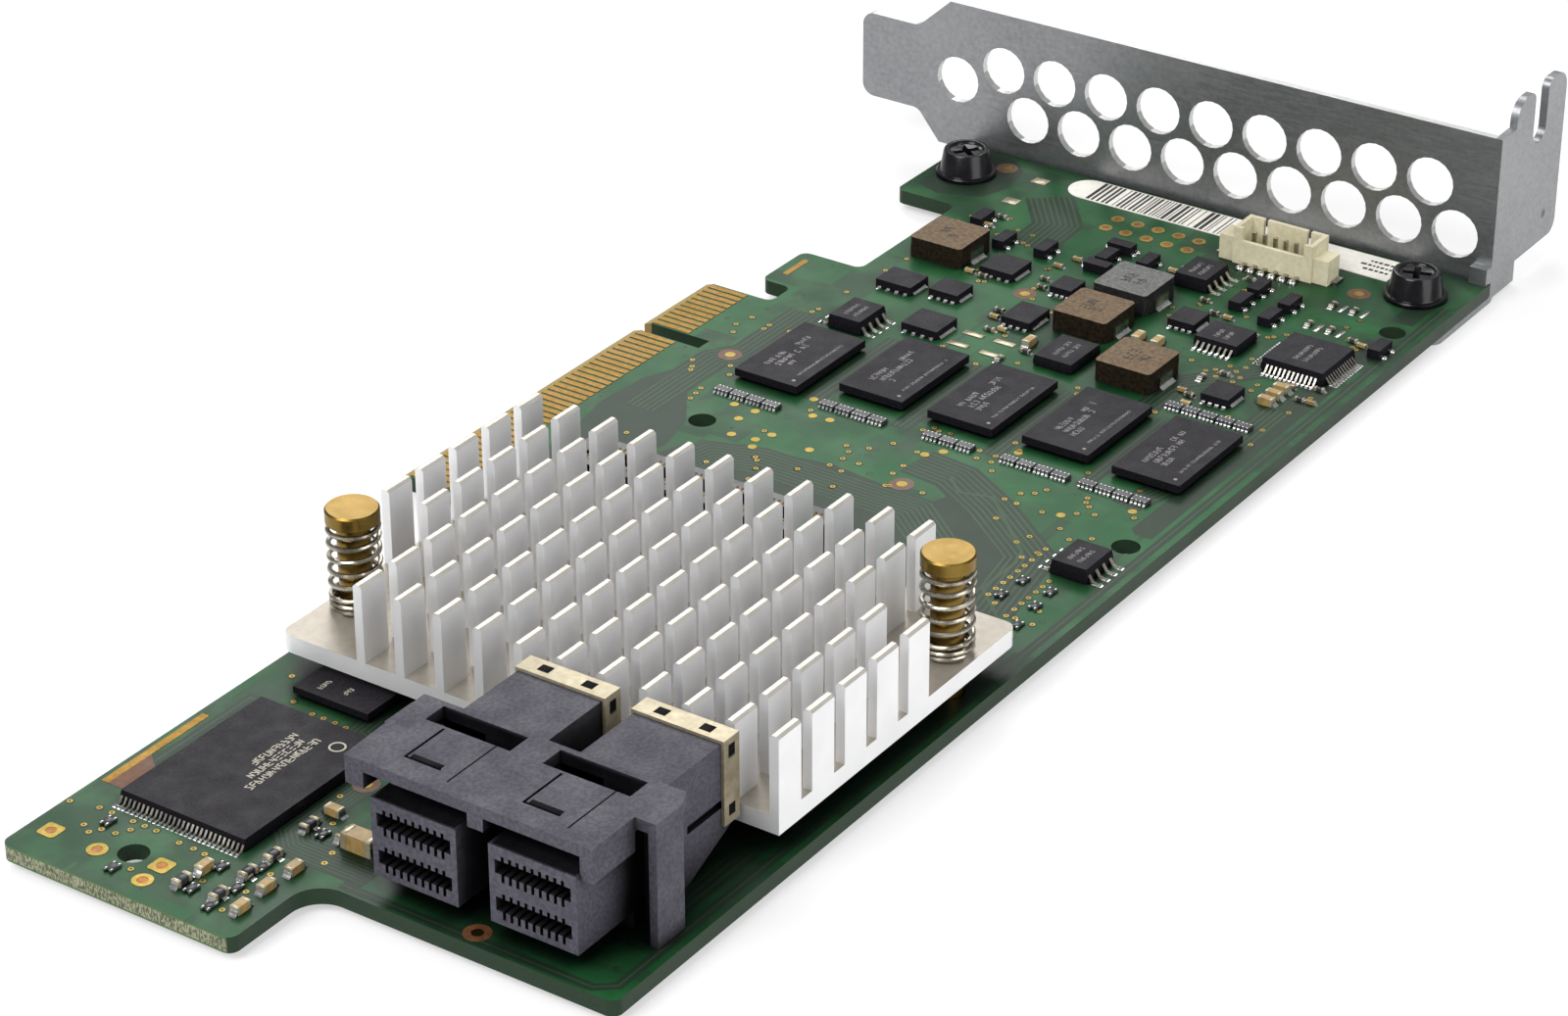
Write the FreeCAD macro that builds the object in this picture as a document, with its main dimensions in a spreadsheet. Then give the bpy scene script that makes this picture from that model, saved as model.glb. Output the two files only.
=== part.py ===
import FreeCAD, Part
import math
import os
import re

import Sketcher

# Low-profile raid controller card. The frame is the edge connector's: the origin lies on the key's
# centre line, at the finger tips and on the component face. X runs along the card to the slot
# bracket, Y is the way the fingers go into the slot, Z rises from the component side.
# Places on the board are given along (X) and across, measured from the free edge to the fingers.
SIZES = {
    # bare board
    "board_thick": 1.57,
    "board_height": 68.9,
    "board_front": 57.8,
    "board_rear": 108.5,
    "rear_step_along": 98.1,
    "rear_step_across": 30.9,
    "tongue_length": 12.6,
    "tongue_rear": 39.15,
    "tongue_front": 12.15,
    "key_width": 1.9,
    "key_depth": 8.25,
    "hook_rear": 16.0,
    "hook_front": 24.0,
    "hook_setback": 4.4,
    "recess_depth": 11.7,
    "prong_rear": 43.0,
    "prong_setback": 3.9,
    "tip_bevel_length": 0.9,
    "tip_bevel_depth": 0.33,
    "board_corner": 1.0,
    "step_corner": 3.0,
    "module_hole_radius": 1.4,
    "hole_front_along": -13.7,
    "hole_front_across": 51.2,
    "hole_free_along": -12.2,
    "hole_free_across": 3.5,
    "hole_rear_along": -103.4,
    "hole_rear_across": 45.9,
    "hole_side_along": 41.9,
    "hole_side_across": 3.3,
    # edge contacts
    "contact_pitch": 1.0,
    "contact_width": 0.7,
    "contact_length": 5.5,
    "contact_thick": 0.05,
    "contact_first": 1.5,
    "contacts_rear": 38,
    "contacts_front": 11,
    # slot bracket
    "sheet_thick": 0.86,
    "bracket_gap": 0.39,
    "bracket_foot": -0.95,
    "bracket_top": 16.45,
    "bracket_start": 0.12,
    "shoulder_top_across": 67.8,
    "shoulder_low_across": 69.1,
    "tongue_start": 71.95,
    "tongue_end": 79.45,
    "tongue_low": 2.55,
    "tongue_high": 12.65,
    "bracket_corner": 1.5,
    "vent_radius": 2.7,
    "vent_pitch": 6.59,
    "vent_first": 7.98,
    "vent_upper": 9.74,
    "vent_lower": 4.52,
    "vent_count": 9,
    "last_vent_across": 66.67,
    "last_vent_up": 7.26,
    "tab_reach": 15.3,
    "tab_notch_reach": 5.7,
    "tab_foot": 0.3,
    "tab_low": -2.0,
    "tab_top": 19.3,
    "tab_notch_near": 3.4,
    "tab_slot_near": 7.65,
    "tab_slot_width": 3.1,
    "tab_slot_floor": 12.8,
    "tab_outer_round": 2.2,
    "tab_inner_round": 1.1,
    "slot_floor_round": 1.5,
    "lug_reach": 1.19,
    "lug_height": 1.9,
    "lug_width": 2.0,
    "ear_reach": 12.5,
    "ear_inner_start": 0.12,
    "ear_inner_end": 9.9,
    "ear_outer_start": 54.3,
    "ear_outer_end": 66.0,
    # bracket screws
    "screw_along": 51.0,
    "screw_first": 5.3,
    "screw_pitch": 55.6,
    "screw_hole_radius": 1.7,
    "shank_radius": 1.45,
    "flange_radius": 3.35,
    "flange_height": 0.5,
    "screw_head_radius": 3.0,
    "screw_top_radius": 2.5,
    "screw_head_height": 3.0,
    "recess_arm": 1.5,
    "recess_width": 0.7,
    "recess_down": 1.2,
    # heat sink
    "sink_rear": -73.8,
    "sink_across": 27.8,
    "sink_length": 37.8,
    "sink_width": 53.8,
    "sink_bottom": 2.2,
    "sink_base": 1.8,
    "fin_height": 7.8,
    "fin_thick": 0.95,
    "fin_rows": 13,
    "fin_bevel": 0.25,
    "sink_corner": 1.2,
    "blade_length": 3.3,
    "blade_columns": 8,
    "bare_columns": 3,
    "bare_rows": 2,
    "mill_clearance": 0.3,
    "cutter_overshoot": 1.0,
    # spring-loaded pins
    "pin_inset_along": 7.45,
    "pin_inset_across": 2.8,
    "pin_hole_radius": 1.75,
    "pin_shaft_radius": 1.55,
    "pin_head_radius": 2.5,
    "pin_head_height": 1.4,
    "pin_top": 14.2,
    "pin_barb_radius": 2.0,
    "pin_tail": 0.86,
    "pin_tip_radius": 1.15,
    "spring_radius": 2.3,
    "spring_wire": 0.5,
    "spring_turns": 6.5,
    "spring_facets": 8,
    "closed_pitch": 1.08,
    # controller under the sink
    "controller_size": 27.0,
    "controller_height": 1.95,
    "thermal_inset": 1.0,
    # twin drive connector
    "sas_face": -96.4,
    "sas_middle": 15.25,
    "port_pitch": 12.1,
    "block_width": 8.8,
    "block_low": 1.7,
    "block_high": 9.2,
    "block_front_length": 11.5,
    "block_length": 22.1,
    "rear_box_high": 11.2,
    "rear_slope_start": 15.0,
    "rear_slope_high": 3.2,
    "block_foot_start": 7.5,
    "port_slot_width": 7.6,
    "port_slot_height": 1.3,
    "port_slot_depth": 5.0,
    "port_slot_upper": 6.6,
    "port_slot_lower": 3.0,
    "comb_count": 9,
    "comb_pitch": 0.75,
    "comb_width": 0.32,
    "comb_rise": 0.45,
    "comb_drop": 0.75,
    "comb_depth": 2.2,
    "side_groove_low": 5.0,
    "side_groove_high": 5.8,
    "side_groove_depth": 0.6,
    "side_groove_start": 15.0,
    "cover_top": 12.0,
    "cover_thick": 1.1,
    "cover_front": 0.5,
    "cover_back": 11.5,
    "cover_half": 13.8,
    "cover_step": 11.7,
    "cover_taper": 0.4,
    "cover_wall_low": 8.7,
    "post_front": 6.2,
    "post_back": 9.9,
    "post_thick": 0.8,
    "stub_width": 1.9,
    "stub_low": 9.3,
    "stub_length": 2.6,
    "window_front": 8.4,
    "window_back": 10.9,
    "window_width": 8.8,
    "window_shift": 0.8,
    "latch_front": 2.9,
    "latch_back": 8.1,
    "latch_reach": 2.3,
    "latch_slit": 0.25,
    "latch_front_slit": 3.8,
    "centre_tab_width": 1.6,
    "centre_tab_low": 9.6,
    "centre_tab_thick": 1.0,
    "clip_thick": 0.3,
    "clip_length": 2.2,
    "clip_low": 3.2,
    "clip_hole": 0.9,
    "clip_hole_pitch": 4.6,
    "clip_hole_drop": 1.2,
    "clip_hole_rise": 1.3,
    # moulded chips with leads: body, height and standing height
    "chip_clearance": 0.1,
    "mould_slope": 9.0,
    "flash_along": -88.8,
    "flash_across": 45.25,
    "flash_long": 18.4,
    "flash_wide": 13.9,
    "flash_high": 1.15,
    "flash_span": 20.0,
    "flash_pitch": 0.5,
    "flash_leads": 28,
    "flash_lead_width": 0.22,
    "fine_lead_thick": 0.15,
    "fine_lead_foot": 0.45,
    "logic_along": -72.3,
    "logic_across": 46.85,
    "logic_long": 8.6,
    "logic_wide": 8.5,
    "logic_high": 1.0,
    "quad_along": 30.6,
    "quad_across": 7.1,
    "quad_size": 7.0,
    "quad_high": 1.4,
    "quad_span": 9.0,
    "quad_pitch": 0.5,
    "quad_leads": 12,
    "quad_lead_width": 0.22,
    "driver_along": 30.3,
    "driver_across": 16.5,
    "driver_long": 4.4,
    "driver_wide": 5.0,
    "driver_high": 1.1,
    "driver_span": 6.4,
    "driver_pitch": 0.65,
    "driver_leads": 7,
    "driver_lead_width": 0.25,
    "small_long": 4.9,
    "small_wide": 3.9,
    "small_high": 1.5,
    "small_span": 6.1,
    "small_pitch": 1.27,
    "small_leads": 4,
    "small_lead_width": 0.42,
    "lead_thick": 0.2,
    "lead_foot": 0.7,
    "small_low_along": -18.0,
    "small_low_across": 4.9,
    "small_mid_along": 41.6,
    "small_mid_across": 25.7,
    "small_top_along": 13.0,
    "small_top_across": 50.4,
    # memory chips on ball grids
    "memory_long": 12.6,
    "memory_wide": 7.5,
    "memory_high": 1.15,
    "memory_ball_inset": 0.5,
    "memory_ball_high": 0.3,
    # power stage
    "inductor_long": 6.3,
    "inductor_wide": 6.4,
    "inductor_high": 2.3,
    "inductor_edge": 0.3,
    "terminal_wide": 2.6,
    "terminal_high": 1.2,
    "terminal_thick": 0.25,
    "power_high": 0.95,
    "diode_long": 5.8,
    "diode_wide": 4.5,
    "diode_high": 1.1,
    # stacking connector
    "stack_gap": 4.0,
    "stack_across": 40.6,
    "stack_long": 28.6,
    "stack_wide": 5.4,
    "stack_high": 3.1,
    "stack_slot_wide": 2.0,
    "stack_slot_long": 25.6,
    "stack_slot_deep": 2.0,
    # six-way header
    "header_along": 49.3,
    "header_across": 20.5,
    "header_long": 9.4,
    "header_wide": 3.7,
    "header_high": 4.2,
    "header_front_high": 2.7,
    "header_wall": 0.5,
    "header_floor": 0.8,
    "header_window": 7.4,
    "header_slit": 0.45,
    "header_slit_offset": 2.6,
    "header_slit_low": 2.0,
    "header_pitch": 1.25,
    "header_ways": 6,
    "header_pin": 0.4,
    "header_pin_top": 3.2,
    "header_tail_reach": 1.4,
    "wing_long": 13.0,
    "wing_wide": 2.6,
    "wing_high": 2.8,
    "wing_setback": 0.3,
    "anchor_wide": 1.6,
    "anchor_reach": 0.7,
    "anchor_thick": 0.3,
    # passives
    "array_long": 1.75,
    "array_wide": 1.0,
    "array_high": 0.45,
    "array_pitch": 1.95,
    "resistor_long": 1.0,
    "resistor_wide": 0.55,
    "resistor_high": 0.35,
    "capacitor_long": 1.6,
    "capacitor_wide": 0.85,
    "capacitor_high": 0.8,
    "large_capacitor_long": 3.2,
    "large_capacitor_wide": 1.6,
    "large_capacitor_high": 1.6,
    "transistor_long": 2.9,
    "transistor_wide": 1.4,
    "transistor_high": 1.0,
    # paper label
    "label_front": 57.1,
    "label_rear": 52.3,
    "label_start": 9.3,
    "label_end": 49.5,
    "label_thick": 0.1,
    "label_round": 2.35,
}

doc = FreeCAD.newDocument("raid_controller_card")
sheet = doc.addObject("Spreadsheet::Sheet", "dims")
for row, (name, number) in enumerate(SIZES.items(), start=1):
    sheet.set("A%d" % row, name)
    sheet.set("B%d" % row, str(number))
    sheet.setAlias("B%d" % row, name)
doc.recompute()


def size(name):
    """The number that a cell of the sheet holds."""
    return float(sheet.get(name))


def formula(text):
    """Point every size that is named in the text at its cell."""
    def cell(found):
        return "dims." + found.group() if found.group() in SIZES else found.group()
    return re.sub(r"[a-z][a-z0-9_]*", cell, str(text))


def bind(item, field, text):
    item.setExpression(field, formula(text))


def place(item, along, across, up="0"):
    """Stand an object at its place on the board."""
    bind(item, "Placement.Base.x", along)
    bind(item, "Placement.Base.y", "%s - board_height" % across)
    bind(item, "Placement.Base.z", up)


def new_body(name, along="0", across="board_height", up="0"):
    body = doc.addObject("PartDesign::Body", name)
    body.Label = name
    place(body, along, across, up)
    return body


def origin_part(body, role):
    """A base plane or axis of the body, found by its role."""
    for item in body.Origin.OriginFeatures:
        if item.Role == role:
            return item
    raise ValueError(role)


def new_sketch(body, role, offset="0"):
    sketch = body.newObject("Sketcher::SketchObject", body.Name + "_sketch")
    sketch.AttachmentSupport = [(origin_part(body, role), "")]
    sketch.MapMode = "FlatFace"
    bind(sketch, "AttachmentOffset.Base.z", offset)
    return sketch


def outline(sketch, points):
    """Closed outline of straight lines through points given as pairs of formulas."""
    count = len(points)
    ring = [FreeCAD.Vector(9 * math.cos(k * math.tau / count), 9 * math.sin(k * math.tau / count), 0)
            for k in range(count)]
    lines = [Part.LineSegment(ring[k], ring[(k + 1) % count]) for k in range(count)]
    ids = sketch.addGeometry(lines)
    sketch.addConstraint([Sketcher.Constraint("Coincident", ids[k], 2, ids[(k + 1) % count], 1)
                          for k in range(count)])
    numbers = sketch.addConstraint([Sketcher.Constraint(kind, -1, 1, line, 1, 1.0)
                                    for line in ids for kind in ("DistanceX", "DistanceY")])
    for number, text in zip(numbers, [text for point in points for text in point]):
        bind(sketch, "Constraints[%d]" % number, text)


def box_outline(sketch, low_x, low_y, high_x, high_y):
    outline(sketch, [(low_x, low_y), (high_x, low_y), (high_x, high_y), (low_x, high_y)])


def circle(sketch, centre_x, centre_y, radius):
    ring = Part.Circle(FreeCAD.Vector(1, 1, 0), FreeCAD.Vector(0, 0, 1), 1)
    line = sketch.addGeometry(ring)
    for kind, text in (("DistanceX", centre_x), ("DistanceY", centre_y)):
        number = sketch.addConstraint(Sketcher.Constraint(kind, -1, 1, line, 3, 1.0))
        bind(sketch, "Constraints[%d]" % number, text)
    number = sketch.addConstraint(Sketcher.Constraint("Radius", line, 1.0))
    bind(sketch, "Constraints[%d]" % number, radius)


def many_sided(sketch, centre_x, centre_y, radius):
    """Round hole drawn with short straight sides, where nothing has to fit into it."""
    turns = [k * math.tau / ROUND_SIDES for k in range(ROUND_SIDES)]
    outline(sketch, [("%s + %s * %.6f" % (centre_x, radius, math.cos(turn)),
                      "%s + %s * %.6f" % (centre_y, radius, math.sin(turn))) for turn in turns])


def pad(body, sketch, length, both_ways=False, downwards=False, slope=None):
    feature = body.newObject("PartDesign::Pad", body.Name + "_pad")
    feature.Profile = sketch
    bind(feature, "Length", length)
    feature.Midplane = both_ways
    feature.Reversed = downwards
    if slope:
        bind(feature, "TaperAngle", "-" + slope)
    return feature


def pocket(body, sketch, depth, both_ways=False, upwards=False):
    feature = body.newObject("PartDesign::Pocket", body.Name + "_pocket")
    feature.Profile = sketch
    bind(feature, "Length", depth)
    feature.Midplane = both_ways
    feature.Reversed = upwards
    return feature


def revolve(body, sketch):
    feature = body.newObject("PartDesign::Revolution", body.Name + "_turned")
    feature.Profile = sketch
    feature.ReferenceAxis = (origin_part(body, "Z_Axis"), [""])
    feature.Angle = 360
    return feature


def repeat(body, feature, role, pitch, count, backwards=False):
    """Row of copies of a feature along one axis of the body."""
    pattern = body.newObject("PartDesign::LinearPattern", body.Name + "_row")
    pattern.Originals = [feature]
    pattern.Direction = (origin_part(body, role), [""])
    pattern.Reversed = backwards
    bind(pattern, "Length", "(%s) * (%s - 1)" % (pitch, count))
    bind(pattern, "Occurrences", count)
    body.Tip = pattern
    return pattern


def edges_through(body, direction, spots):
    """Names of the straight edges along a direction whose middle lies over one of the spots."""
    shape = body.Tip.Shape
    flat = [k for k in range(3) if abs(direction[k]) < 0.5]
    names = []
    for number, edge in enumerate(shape.Edges, start=1):
        if edge.Curve.TypeId != "Part::GeomLine" or abs(edge.Curve.Direction.dot(direction)) < 0.999:
            continue
        middle = edge.CenterOfMass
        if any(abs(middle[flat[0]] - a) < 0.02 and abs(middle[flat[1]] - b) < 0.02 for a, b in spots):
            names.append("Edge%d" % number)
    return names


def round_edges(body, direction, spots, radius):
    """Fillet on the chosen straight edges of the body."""
    doc.recompute()
    names = edges_through(body, direction, spots)
    base = body.Tip
    feature = body.newObject("PartDesign::Fillet", body.Name + "_fillet")
    feature.Base = (base, names)
    bind(feature, "Radius", radius)
    body.Tip = feature
    return feature


ROUND_SIDES = 20
SINK_ALONG = "(sink_rear + sink_length / 2)"
PIN_OFFSET_ALONG = "(sink_length / 2 - pin_inset_along)"
PIN_OFFSET_ACROSS = "(sink_width / 2 - pin_inset_across)"
ALONG_X = FreeCAD.Vector(1, 0, 0)
ALONG_Y = FreeCAD.Vector(0, 1, 0)
UPRIGHT = FreeCAD.Vector(0, 0, 1)
parts = []

# Bare board with the keyed tongue, the hook beside it and the prong that carries the bracket
board = new_body("circuit_board")
parts.append(board)
edge_sketch = new_sketch(board, "XY_Plane")
outline(edge_sketch, [
    ("-rear_step_along", "-board_height"),
    ("board_front", "-board_height"),
    ("board_front", "-prong_setback"),
    ("prong_rear", "-prong_setback"),
    ("prong_rear", "-recess_depth"),
    ("hook_front", "-recess_depth"),
    ("hook_front", "-hook_setback"),
    ("hook_rear", "-hook_setback"),
    ("hook_rear", "-key_depth"),
    ("tongue_front", "-key_depth"),
    ("tongue_front", "0"),
    ("key_width / 2", "0"),
    ("key_width / 2", "-key_depth"),
    ("-key_width / 2", "-key_depth"),
    ("-key_width / 2", "0"),
    ("-tongue_rear", "0"),
    ("-tongue_rear", "-tongue_length"),
    ("-board_rear", "-tongue_length"),
    ("-board_rear", "rear_step_across - board_height"),
    ("-rear_step_along", "rear_step_across - board_height"),
])
pad(board, edge_sketch, "board_thick", downwards=True)
hole_sketch = new_sketch(board, "XY_Plane")
for hole in ("hole_front", "hole_free"):
    circle(hole_sketch, hole + "_along", hole + "_across - board_height", "module_hole_radius")
for hole in ("hole_rear", "hole_side"):
    many_sided(hole_sketch, hole + "_along", hole + "_across - board_height", "module_hole_radius")
for across in ("screw_first", "screw_first + screw_pitch"):
    many_sided(hole_sketch, "screw_along", across + " - board_height", "screw_hole_radius")
for side, other in (("+", "-"), ("-", "+")):
    many_sided(hole_sketch, "%s %s %s" % (SINK_ALONG, side, PIN_OFFSET_ALONG),
               "sink_across %s %s - board_height" % (other, PIN_OFFSET_ACROSS), "pin_hole_radius")
pocket(board, hole_sketch, "board_thick")
bevel_sketch = new_sketch(board, "YZ_Plane", "-(tongue_rear - tongue_front) / 2")
outline(bevel_sketch, [("-tip_bevel_length", "0"), ("0", "0"), ("0", "-tip_bevel_depth")])
outline(bevel_sketch, [("-tip_bevel_length", "-board_thick"), ("0", "tip_bevel_depth - board_thick"),
                       ("0", "-board_thick")])
pocket(board, bevel_sketch, "tongue_rear + tongue_front", both_ways=True)
round_edges(board, UPRIGHT, [
    (-size("board_rear"), -size("tongue_length")),
    (-size("board_rear"), size("rear_step_across") - size("board_height")),
    (-size("rear_step_along"), -size("board_height")),
    (size("hook_front"), -size("hook_setback")),
    (size("hook_rear"), -size("hook_setback")),
    (size("prong_rear"), -size("prong_setback")),
    (size("prong_rear"), -size("recess_depth")),
    (size("hook_front"), -size("recess_depth")),
    (size("hook_rear"), -size("key_depth")),
    (size("tongue_front"), -size("key_depth")),
], "board_corner")
round_edges(board, UPRIGHT, [
    (-size("rear_step_along"), size("rear_step_across") - size("board_height")),
], "step_corner")


def contact_rows(name, face, downwards):
    """Gilded contacts on one face of the tongue, a row on each side of the key."""
    body = new_body(name)
    for start, count, backwards in (("-contact_first", "contacts_rear", True),
                                    ("contact_first", "contacts_front", False)):
        sketch = new_sketch(body, "XY_Plane", face)
        box_outline(sketch, "%s - contact_width / 2" % start, "-contact_length",
                    "%s + contact_width / 2" % start, "-tip_bevel_length")
        strip = pad(body, sketch, "contact_thick", downwards=downwards)
        repeat(body, strip, "X_Axis", "contact_pitch", count, backwards)
    parts.append(body)


contact_rows("edge_contacts_component_side", "0", False)
contact_rows("edge_contacts_solder_side", "-board_thick", True)

# Slot bracket, one folded sheet: plate with tongue and vents, screw tab, two ears under the board
bracket = new_body("slot_bracket", "board_front + bracket_gap", "0")
parts.append(bracket)
plate_sketch = new_sketch(bracket, "YZ_Plane")
outline(plate_sketch, [
    ("ear_inner_start", "-board_thick - sheet_thick"),
    ("ear_inner_end", "-board_thick - sheet_thick"),
    ("ear_inner_end", "bracket_foot"),
    ("ear_outer_start", "bracket_foot"),
    ("ear_outer_start", "-board_thick - sheet_thick"),
    ("ear_outer_end", "-board_thick - sheet_thick"),
    ("ear_outer_end", "bracket_foot"),
    ("shoulder_low_across", "bracket_foot"),
    ("tongue_start", "tongue_low"),
    ("tongue_end", "tongue_low"),
    ("tongue_end", "tongue_high"),
    ("tongue_start", "tongue_high"),
    ("shoulder_top_across", "bracket_top"),
    ("bracket_start", "bracket_top"),
])
pad(bracket, plate_sketch, "sheet_thick")
for start, up in (("vent_first", "vent_upper"), ("vent_first - vent_pitch / 2", "vent_lower")):
    vent_sketch = new_sketch(bracket, "YZ_Plane", "sheet_thick")
    many_sided(vent_sketch, start, up, "vent_radius")
    vent = pocket(bracket, vent_sketch, "sheet_thick")
    repeat(bracket, vent, "Y_Axis", "vent_pitch", "vent_count")
last_vent_sketch = new_sketch(bracket, "YZ_Plane", "sheet_thick")
many_sided(last_vent_sketch, "last_vent_across", "last_vent_up", "vent_radius")
pocket(bracket, last_vent_sketch, "sheet_thick")
tab_sketch = new_sketch(bracket, "XZ_Plane", "-bracket_start - sheet_thick")
outline(tab_sketch, [
    ("0", "tab_low"),
    ("tab_notch_reach", "tab_low"),
    ("tab_notch_reach", "tab_foot"),
    ("tab_reach", "tab_foot"),
    ("tab_reach", "tab_top"),
    ("tab_slot_near + tab_slot_width", "tab_top"),
    ("tab_slot_near + tab_slot_width", "tab_slot_floor"),
    ("tab_slot_near", "tab_slot_floor"),
    ("tab_slot_near", "tab_top"),
    ("tab_notch_near", "tab_top"),
    ("tab_notch_near", "bracket_top"),
    ("0", "bracket_top"),
])
pad(bracket, tab_sketch, "sheet_thick")
lug_sketch = new_sketch(bracket, "XY_Plane")
box_outline(lug_sketch, "-lug_reach", "bracket_start", "0", "bracket_start + lug_width")
pad(bracket, lug_sketch, "lug_height")
for first, last in (("ear_inner_start", "ear_inner_end"), ("ear_outer_start", "ear_outer_end")):
    ear_sketch = new_sketch(bracket, "XY_Plane", "-board_thick - sheet_thick")
    box_outline(ear_sketch, "-ear_reach", first, "0", last)
    pad(bracket, ear_sketch, "sheet_thick")
thread_sketch = new_sketch(bracket, "XY_Plane", "-board_thick")
for across in ("screw_first", "screw_first + screw_pitch"):
    circle(thread_sketch, "screw_along - board_front - bracket_gap", across, "shank_radius")
pocket(bracket, thread_sketch, "sheet_thick")
low_plane = -size("board_thick") - size("sheet_thick")
round_edges(bracket, ALONG_X, [
    (size("tongue_end"), size("tongue_low")),
    (size("tongue_end"), size("tongue_high")),
    (size("tongue_start"), size("tongue_low")),
    (size("tongue_start"), size("tongue_high")),
], "bracket_corner")
round_edges(bracket, ALONG_Y, [
    (size("tab_slot_near"), size("tab_slot_floor")),
    (size("tab_slot_near") + size("tab_slot_width"), size("tab_slot_floor")),
    (size("tab_reach"), size("tab_foot")),
], "slot_floor_round")
round_edges(bracket, ALONG_Y, [
    (size("tab_reach"), size("tab_top")),
    (size("tab_notch_near"), size("tab_top")),
], "tab_outer_round")
round_edges(bracket, ALONG_Y, [
    (size("tab_slot_near"), size("tab_top")),
    (size("tab_slot_near") + size("tab_slot_width"), size("tab_top")),
], "tab_inner_round")
round_edges(bracket, UPRIGHT, [
    (-size("ear_reach"), size("ear_inner_end")),
    (-size("ear_reach"), size("ear_outer_start")),
    (-size("ear_reach"), size("ear_outer_end")),
    (-size("ear_reach"), size("ear_inner_start")),
], "bracket_corner")
round_edges(bracket, ALONG_Y, [(size("sheet_thick"), low_plane)], "sheet_thick * 0.9")

# Two flanged screws through board and ears
screws = new_body("bracket_screws", "screw_along", "screw_first")
parts.append(screws)
screw_sketch = new_sketch(screws, "XZ_Plane")
outline(screw_sketch, [
    ("0", "-board_thick - sheet_thick"),
    ("shank_radius", "-board_thick - sheet_thick"),
    ("shank_radius", "0"),
    ("flange_radius", "0"),
    ("flange_radius", "flange_height"),
    ("screw_head_radius", "flange_height"),
    ("screw_top_radius", "screw_head_height"),
    ("0", "screw_head_height"),
])
screw = revolve(screws, screw_sketch)
repeat(screws, screw, "Y_Axis", "screw_pitch", "2")
drive_sketch = new_sketch(screws, "XY_Plane", "screw_head_height")
outline(drive_sketch, [
    ("recess_arm", "-recess_width / 2"), ("recess_arm", "recess_width / 2"),
    ("recess_width / 2", "recess_width / 2"), ("recess_width / 2", "recess_arm"),
    ("-recess_width / 2", "recess_arm"), ("-recess_width / 2", "recess_width / 2"),
    ("-recess_arm", "recess_width / 2"), ("-recess_arm", "-recess_width / 2"),
    ("-recess_width / 2", "-recess_width / 2"), ("-recess_width / 2", "-recess_arm"),
    ("recess_width / 2", "-recess_arm"), ("recess_width / 2", "-recess_width / 2"),
])
drive = pocket(screws, drive_sketch, "recess_down")
repeat(screws, drive, "Y_Axis", "screw_pitch", "2")

# Heat sink: extruded ribs on a base, cross-cut into blades, two corners milled bare
FIN_PITCH = "((sink_width - fin_thick) / (fin_rows - 1))"
BLADE_PITCH = "((sink_length - blade_length) / (blade_columns - 1))"
sink = new_body("heat_sink", SINK_ALONG, "sink_across")
parts.append(sink)
base_sketch = new_sketch(sink, "XY_Plane", "sink_bottom")
box_outline(base_sketch, "-sink_length / 2", "-sink_width / 2", "sink_length / 2", "sink_width / 2")
pad(sink, base_sketch, "sink_base")
rib_sketch = new_sketch(sink, "YZ_Plane")
outline(rib_sketch, [
    ("-sink_width / 2", "sink_bottom + sink_base"),
    ("-sink_width / 2", "sink_bottom + sink_base + fin_height - fin_bevel"),
    ("-sink_width / 2 + fin_bevel", "sink_bottom + sink_base + fin_height"),
    ("-sink_width / 2 + fin_thick - fin_bevel", "sink_bottom + sink_base + fin_height"),
    ("-sink_width / 2 + fin_thick", "sink_bottom + sink_base + fin_height - fin_bevel"),
    ("-sink_width / 2 + fin_thick", "sink_bottom + sink_base"),
])
rib = pad(sink, rib_sketch, "sink_length", both_ways=True)
repeat(sink, rib, "Y_Axis", FIN_PITCH, "fin_rows")
cut_sketch = new_sketch(sink, "XY_Plane", "sink_bottom + sink_base + fin_height")
box_outline(cut_sketch, "-sink_length / 2 + blade_length", "-sink_width / 2 - cutter_overshoot",
            "-sink_length / 2 + " + BLADE_PITCH, "sink_width / 2 + cutter_overshoot")
cut = pocket(sink, cut_sketch, "fin_height")
repeat(sink, cut, "X_Axis", BLADE_PITCH, "blade_columns - 1")
corner_sketch = new_sketch(sink, "XY_Plane", "sink_bottom + sink_base + fin_height")
for side, other in (("-", ""), ("", "-")):
    box_outline(corner_sketch,
                "%s(sink_length / 2 + cutter_overshoot)" % side,
                "%s(sink_width / 2 + cutter_overshoot)" % other,
                "%s(sink_length / 2 - bare_columns * %s + mill_clearance)" % (side, BLADE_PITCH),
                "%s(sink_width / 2 - bare_rows * %s + mill_clearance)" % (other, FIN_PITCH))
pocket(sink, corner_sketch, "fin_height")
sink_hole_sketch = new_sketch(sink, "XY_Plane", "sink_bottom + sink_base")
for side, other in (("-", ""), ("", "-")):
    many_sided(sink_hole_sketch, side + PIN_OFFSET_ALONG, other + PIN_OFFSET_ACROSS, "pin_hole_radius")
pocket(sink, sink_hole_sketch, "sink_base")
round_edges(sink, UPRIGHT, [
    (-size("sink_length") / 2, size("sink_width") / 2),
    (size("sink_length") / 2, -size("sink_width") / 2),
], "sink_corner")


def turned_pair(name, points):
    """The same turned piece on both pin places, fused to one group of two solids."""
    pieces = []
    for side, other in (("-", "+"), ("+", "-")):
        body = new_body(name + "_one", "%s %s %s" % (SINK_ALONG, side, PIN_OFFSET_ALONG),
                        "sink_across %s %s" % (other, PIN_OFFSET_ACROSS))
        sketch = new_sketch(body, "XZ_Plane")
        outline(sketch, points)
        revolve(body, sketch)
        pieces.append(body)
    group = doc.addObject("Part::Compound", name)
    group.Label = name
    group.Links = pieces
    parts.append(group)


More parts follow.
